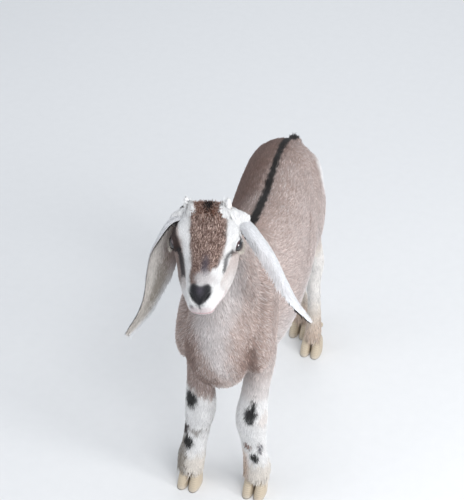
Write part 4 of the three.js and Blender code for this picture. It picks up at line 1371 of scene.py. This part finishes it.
def make_lashes(colours, seed):
    """Pale lashes along each upper lid."""
    rng = np.random.default_rng(seed)
    sets = []
    for sign in (1, -1):
        at, out, level, up = eye_axes(sign)
        a = np.clip(np.linspace(-0.6, 0.6, LASHES) + rng.normal(0, 0.02, LASHES), -0.64, 0.64)
        b = LID_ABOVE * (1 - (np.abs(a) / LID_WIDTH) ** LID_POWER) ** (1 / LID_POWER)
        b = b - LID_ARCH * (a / LID_WIDTH) ** 2 + 0.08
        d = unit(out + np.tan(a)[:, None] * level + np.tan(b)[:, None] * up)
        roots = from_head(at + d * (EYE_RADIUS + 1.2))
        way = unit(d * 0.8 + up * 0.3 + np.array([0, 0, -0.55]) + rng.normal(0, 0.1, (LASHES, 3)))
        length = rng.uniform(3.5, 5.5, LASHES)
        tone = np.tile(colours["cream"], (LASHES, 1)) * rng.uniform(0.5, 0.9, (LASHES, 1))
        sets.append((roots, d @ HEAD_AXES.T, way @ HEAD_AXES.T, length, tone))
    roots, normals, ways, lengths, tones = (np.concatenate(v) for v in zip(*sets))
    steep = np.clip((ways * normals).sum(1), 0.05, 0.95)
    uv = rng.uniform(0.1, 0.9, (len(roots), 2))
    return tufts("lashes", roots, normals, ways - steep[:, None] * normals, lengths,
                 np.full(len(roots), 0.55), steep, tones, uv, rng)


def make_eye(sign):
    """An eyeball as rings of latitude about its own axis: its radius, with a cornea 0.5 mm proud of it."""
    rows, turns = 64, 96
    angle = np.linspace(0, np.pi, rows + 1)
    around_axis = np.linspace(0, 2 * np.pi, turns, endpoint=False)
    at, out, level, up = eye_axes(sign)
    radius = EYE_RADIUS - 0.35 + 0.5 * smoothstep(0.75, 0.3, angle)
    disc = np.sin(angle)[:, None, None] * (np.cos(around_axis)[None, :, None] * level
                                           + np.sin(around_axis)[None, :, None] * up)
    grid = at + radius[:, None, None] * (np.cos(angle)[:, None, None] * out + disc)
    points, faces = closed(from_head(grid))
    made = mesh_object("eyeball_left" if sign > 0 else "eyeball_right", from_part(points), faces)
    local = (to_head(points) - at) / EYE_RADIUS
    away = np.arccos(np.clip(unit(local) @ out, -1, 1)) / np.pi
    flat = unit(np.stack([local @ level, local @ up], -1))
    store_map(made.data, "disc", 0.5 + flat * away[:, None], faces)
    return made


def make_foot(leg_name):
    """Two claws and two dewclaws of one foot, their soles flat on the floor."""
    sole = LEGS[leg_name]["sole"]
    parts = []
    for offset in (-CLAW_OFFSET, CLAW_OFFSET):
        grid = form(**claw(sole, offset), turns=64, steps=72)
        grid[..., 2] = np.maximum(grid[..., 2], 0)
        parts.append(closed(grid))
        parts.append(closed(form(**dewclaw(sole, offset * 0.85), turns=32, steps=32)))
    points, faces = joined(parts)
    return mesh_object("hooves_" + leg_name, from_part(points), faces)


def colour(name, description, value):
    """A colour setting whose default is given as it looks on a screen."""
    return FloatVectorProperty(name=name, description=description, subtype="COLOR", size=3, min=0.0, max=1.0,
                               default=tuple(linear(value)))


class GoatColours(bpy.types.PropertyGroup):
    """Colours of the coat, the bare skin, the eyes and the hooves."""
    fawn: colour("Fawn", "Ground colour of the sides", (0.7, 0.625, 0.595))
    # pale_fawn also paints light on the lit left flank
    pale_fawn: colour("Pale fawn", "Paler parts of the sides and thighs", (0.8, 0.745, 0.73))
    cheek: colour("Cheek", "Pale sides of the face", (0.8, 0.755, 0.74))
    # brown also paints shade on the goat's right side of the trunk and forelegs
    brown: colour("Brown", "Brown of the forehead, the back and the chest patches", (0.44, 0.345, 0.31))
    dark_brown: colour("Dark brown", "Strip from each eye to the ear", (0.19, 0.14, 0.13))
    ticking: colour("Ticking", "Pale flecks in the forehead", (0.84, 0.745, 0.7))
    # ginger is partly a real reddish tint and partly painted shade on the shaded sides of the lower legs
    ginger: colour("Ginger", "Reddish shade on the lower legs", (0.74, 0.56, 0.42))
    rust: colour("Rust", "Red brown spots at the knees", (0.44, 0.29, 0.22))
    black: colour("Black", "Back stripe and leg patches", (0.045, 0.04, 0.045))
    white: colour("White", "Ears, face stripes and leg bands", (0.95, 0.95, 0.95))
    cream: colour("Cream", "Belly and feet", (0.90, 0.865, 0.82))
    pale_grey: colour("Pale grey", "Chest and snout", (0.82, 0.80, 0.80))
    # grey also paints the highlight on the middle of the nose pad
    grey: colour("Grey", "Spot on the bridge of the nose", (0.3, 0.28, 0.32))
    # olive is painted shade, inside the ears and down the right cannon
    olive: colour("Olive", "Shade inside the ears and down the right cannon", (0.44, 0.4, 0.35))
    lid_grey: colour("Lid grey", "Patch below the left eye", (0.66, 0.60, 0.58))
    dark_grey: colour("Dark grey", "Marks below the eyes", (0.17, 0.16, 0.17))
    nose: colour("Nose", "Bare leather of the nose", (0.085, 0.08, 0.095))
    pink: colour("Pink", "Lips", (0.82, 0.66, 0.67))
    rim: colour("Lid rim", "Bare rim of the lids", (0.14, 0.11, 0.11))
    # ear_pink is a real pink made darker as painted shade
    ear_pink: colour("Ear pink", "Inside of the ears", (0.5, 0.4, 0.37))
    iris: colour("Iris", "Iris of the eyes", (0.3, 0.21, 0.22))
    hoof: colour("Hoof", "Horn of the hooves", (0.80, 0.74, 0.65))


def number(name, description, value, least=100):
    return IntProperty(name=name, description=description, default=value, min=least)


class GoatSizes(bpy.types.PropertyGroup):
    """Sizes of the skin and numbers of tufts."""
    voxel: FloatProperty(name="Skin detail", description="Edge of the skin's cells", default=0.0029,
                         min=0.001, unit="LENGTH")
    trunk: number("Trunk tufts", "Tufts on each side of the trunk", 19800)
    neck: number("Neck tufts", "Tufts on the neck and chest", 17000)
    head: number("Head tufts", "Tufts on the head", 19800)
    leg: number("Leg tufts", "Tufts on each leg", 10000)
    tail: number("Tail tufts", "Tufts on the tail", 2600)
    ears: number("Ear tufts", "Tufts on both ears", 14000)
    poll: number("Poll tufts", "Standing tufts over the horn buds", 4200, 10)


class GoatStudio(bpy.types.PropertyGroup):
    """Camera and light of the studio."""
    lens: FloatProperty(name="Lens", description="Focal length of the camera in millimetres", default=100.8)
    floor: colour("Floor", "Tint of the floor", (0.90, 0.90, 0.90))
    key: FloatProperty(name="Key light", description="Power of the main light", default=28.0, unit="POWER")
    fill: FloatProperty(name="Fill light", description="Power of the soft light from the other side",
                        default=8.0, unit="POWER")


def palette():
    settings = bpy.context.scene.goat_colours
    return {name: np.array(getattr(settings, name)) for name in GoatColours.__annotations__}


def hand_over(piece, material, slot, *nodes):
    """Gives a piece its material and its place in the frame."""
    piece.data.materials.append(material)
    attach(piece, "root")
    if nodes:
        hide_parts(*nodes)


FLESH = ["torso", "neck", "head", "ear_left", "ear_right", "tail"] + [
    f"{leg}_{part}_{side}" for leg in ("foreleg", "hindleg") for part in ("upper", "lower")
    for side in ("left", "right")]


class GOAT_OT_skin(bpy.types.Operator):
    """Model the skin with its folds, lids and ears, coloured with the coat's marks"""
    bl_idname = "goat.skin"
    bl_label = "Skin"

    def execute(self, context):
        skin = make_skin(palette(), context.scene.goat_sizes.voxel)
        hand_over(skin, hide_material(), "fawn_coat", *FLESH)
        return {"FINISHED"}


class GOAT_OT_eyes(bpy.types.Operator):
    """Model both eyeballs with level pupils"""
    bl_idname = "goat.eyes"
    bl_label = "Eyes"

    def execute(self, context):
        wet = eye_material(palette())
        for sign, node in ((1, "eye_left"), (-1, "eye_right")):
            hand_over(make_eye(sign), wet, "eye", node)
        return {"FINISHED"}


class GOAT_OT_hooves(bpy.types.Operator):
    """Model the claws and dewclaws of all four feet"""
    bl_idname = "goat.hooves"
    bl_label = "Hooves"

    def execute(self, context):
        horn = hoof_material(palette())
        for leg in LEGS:
            end, side = leg.split("_")
            nodes = [f"{end}_{kind}_{place}_{side}" for kind in ("hoof", "dewclaw")
                     for place in ("inner", "outer")]
            hand_over(make_foot(leg), horn, "hoof", *nodes)
        pale = hoof_material({**palette(), "hoof": palette()["cream"]})
        for side in ("left", "right"):
            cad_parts[f"horn_bud_{side}"].data.materials[0] = pale
        return {"FINISHED"}


class GOAT_OT_coat(bpy.types.Operator):
    """Model the coat as tufts laid over the skin, one piece to each region"""
    bl_idname = "goat.coat"
    bl_label = "Coat"

    def execute(self, context):
        if not BODY:
            raise RuntimeError("The coat grows on the skin, so the skin comes first")
        colours, sizes = palette(), context.scene.goat_sizes
        material = coat_material()
        counts = [sizes.trunk, sizes.trunk, sizes.neck, sizes.head, sizes.tail] + [sizes.leg] * 4
        slots = ["fawn_coat"] * 4 + ["dark_coat"] + ["cream_coat"] * 4
        for number, (count, slot) in enumerate(zip(counts, slots)):
            hand_over(make_coat(number, colours, count, 100 + number), material, slot)
        hand_over(make_ear_coat(colours, sizes.ears, 120), material, "white_coat")
        hand_over(make_poll(colours, sizes.poll, 121), material, "white_coat")
        hand_over(make_lashes(colours, 122), material, "white_coat")
        return {"FINISHED"}


def aimed(made, target):
    way = Matrix.Translation(target).translation - made.location
    made.rotation_euler = way.to_track_quat("-Z", "Y").to_euler()


class GOAT_OT_studio(bpy.types.Operator):
    """Set up the floor, the lights and the camera"""
    bl_idname = "goat.studio"
    bl_label = "Studio"

    def execute(self, context):
        scene = context.scene
        studio = scene.goat_studio
        scene.view_settings.view_transform = "Standard"
        line = np.linspace(-FLOOR_HALF, FLOOR_HALF, FLOOR_LINES)
        x, y = np.meshgrid(line, line)
        points = np.stack([x.ravel(), y.ravel(), 0 * x.ravel()], 1)
        floor = mesh_object("studio_floor", points, grid_faces(FLOOR_LINES, FLOOR_LINES), smooth=False)
        floor.data.materials.append(floor_material(studio.floor))
        world = bpy.data.worlds.new("studio_air")
        world.use_nodes = True
        sky = world.node_tree.nodes["Background"].inputs
        sky["Color"].default_value, sky["Strength"].default_value = SKY_COLOUR, SKY_STRENGTH
        scene.world = world
        for name, at, size, power in LIGHTS:
            lamp = bpy.data.lights.new(name, "AREA")
            lamp.size, lamp.energy = size, getattr(studio, power)
            made = bpy.data.objects.new(name, lamp)
            made.location = at
            aimed(made, (0.0, 0.0, 0.3))
            scene.collection.objects.link(made)
        heading, dip, lean = (math.radians(angle) for angle in (CAMERA_HEADING, CAMERA_DIP, CAMERA_LEAN))
        right = np.array([math.cos(heading), math.sin(heading), 0])
        level = np.array([-math.sin(heading), math.cos(heading), 0])
        forward = level * math.cos(dip) - np.array([0, 0, math.sin(dip)])
        up = level * math.sin(dip) + np.array([0, 0, math.cos(dip)])
        x_axis = right * math.cos(lean) + up * math.sin(lean)
        y_axis = up * math.cos(lean) - right * math.sin(lean)
        lens = bpy.data.cameras.new("camera")
        lens.lens, lens.sensor_width, lens.sensor_fit = studio.lens, 36.0, "AUTO"
        camera = bpy.data.objects.new("camera", lens)
        matrix = Matrix(np.stack([x_axis, y_axis, -forward], 1).tolist()).to_4x4()
        matrix.translation = from_part(CAMERA_AT).tolist()
        camera.matrix_world = matrix
        scene.collection.objects.link(camera)
        scene.camera = camera
        return {"FINISHED"}


class GOAT_PT_panel(bpy.types.Panel):
    """The goat's pieces and their settings"""
    bl_label = "Young Nubian goat"
    bl_space_type = "VIEW_3D"
    bl_region_type = "UI"
    bl_category = "Goat"

    def draw(self, context):
        for operator in OPERATORS:
            self.layout.operator(operator.bl_idname)
        for settings in (context.scene.goat_sizes, context.scene.goat_colours, context.scene.goat_studio):
            box = self.layout.box()
            for name in type(settings).__annotations__:
                box.prop(settings, name)


OPERATORS = [GOAT_OT_skin, GOAT_OT_eyes, GOAT_OT_hooves, GOAT_OT_coat, GOAT_OT_studio]
CLASSES = [GoatColours, GoatSizes, GoatStudio, *OPERATORS, GOAT_PT_panel]


def register():
    for cls in CLASSES:
        bpy.utils.register_class(cls)
    bpy.types.Scene.goat_colours = PointerProperty(type=GoatColours)
    bpy.types.Scene.goat_sizes = PointerProperty(type=GoatSizes)
    bpy.types.Scene.goat_studio = PointerProperty(type=GoatStudio)


def unregister():
    for name in ("goat_colours", "goat_sizes", "goat_studio"):
        delattr(bpy.types.Scene, name)
    for cls in reversed(CLASSES):
        bpy.utils.unregister_class(cls)


def main():
    register()
    bpy.ops.goat.skin()
    bpy.ops.goat.eyes()
    bpy.ops.goat.hooves()
    bpy.ops.goat.coat()
    bpy.ops.goat.studio()


if __name__ == "__main__":
    main()
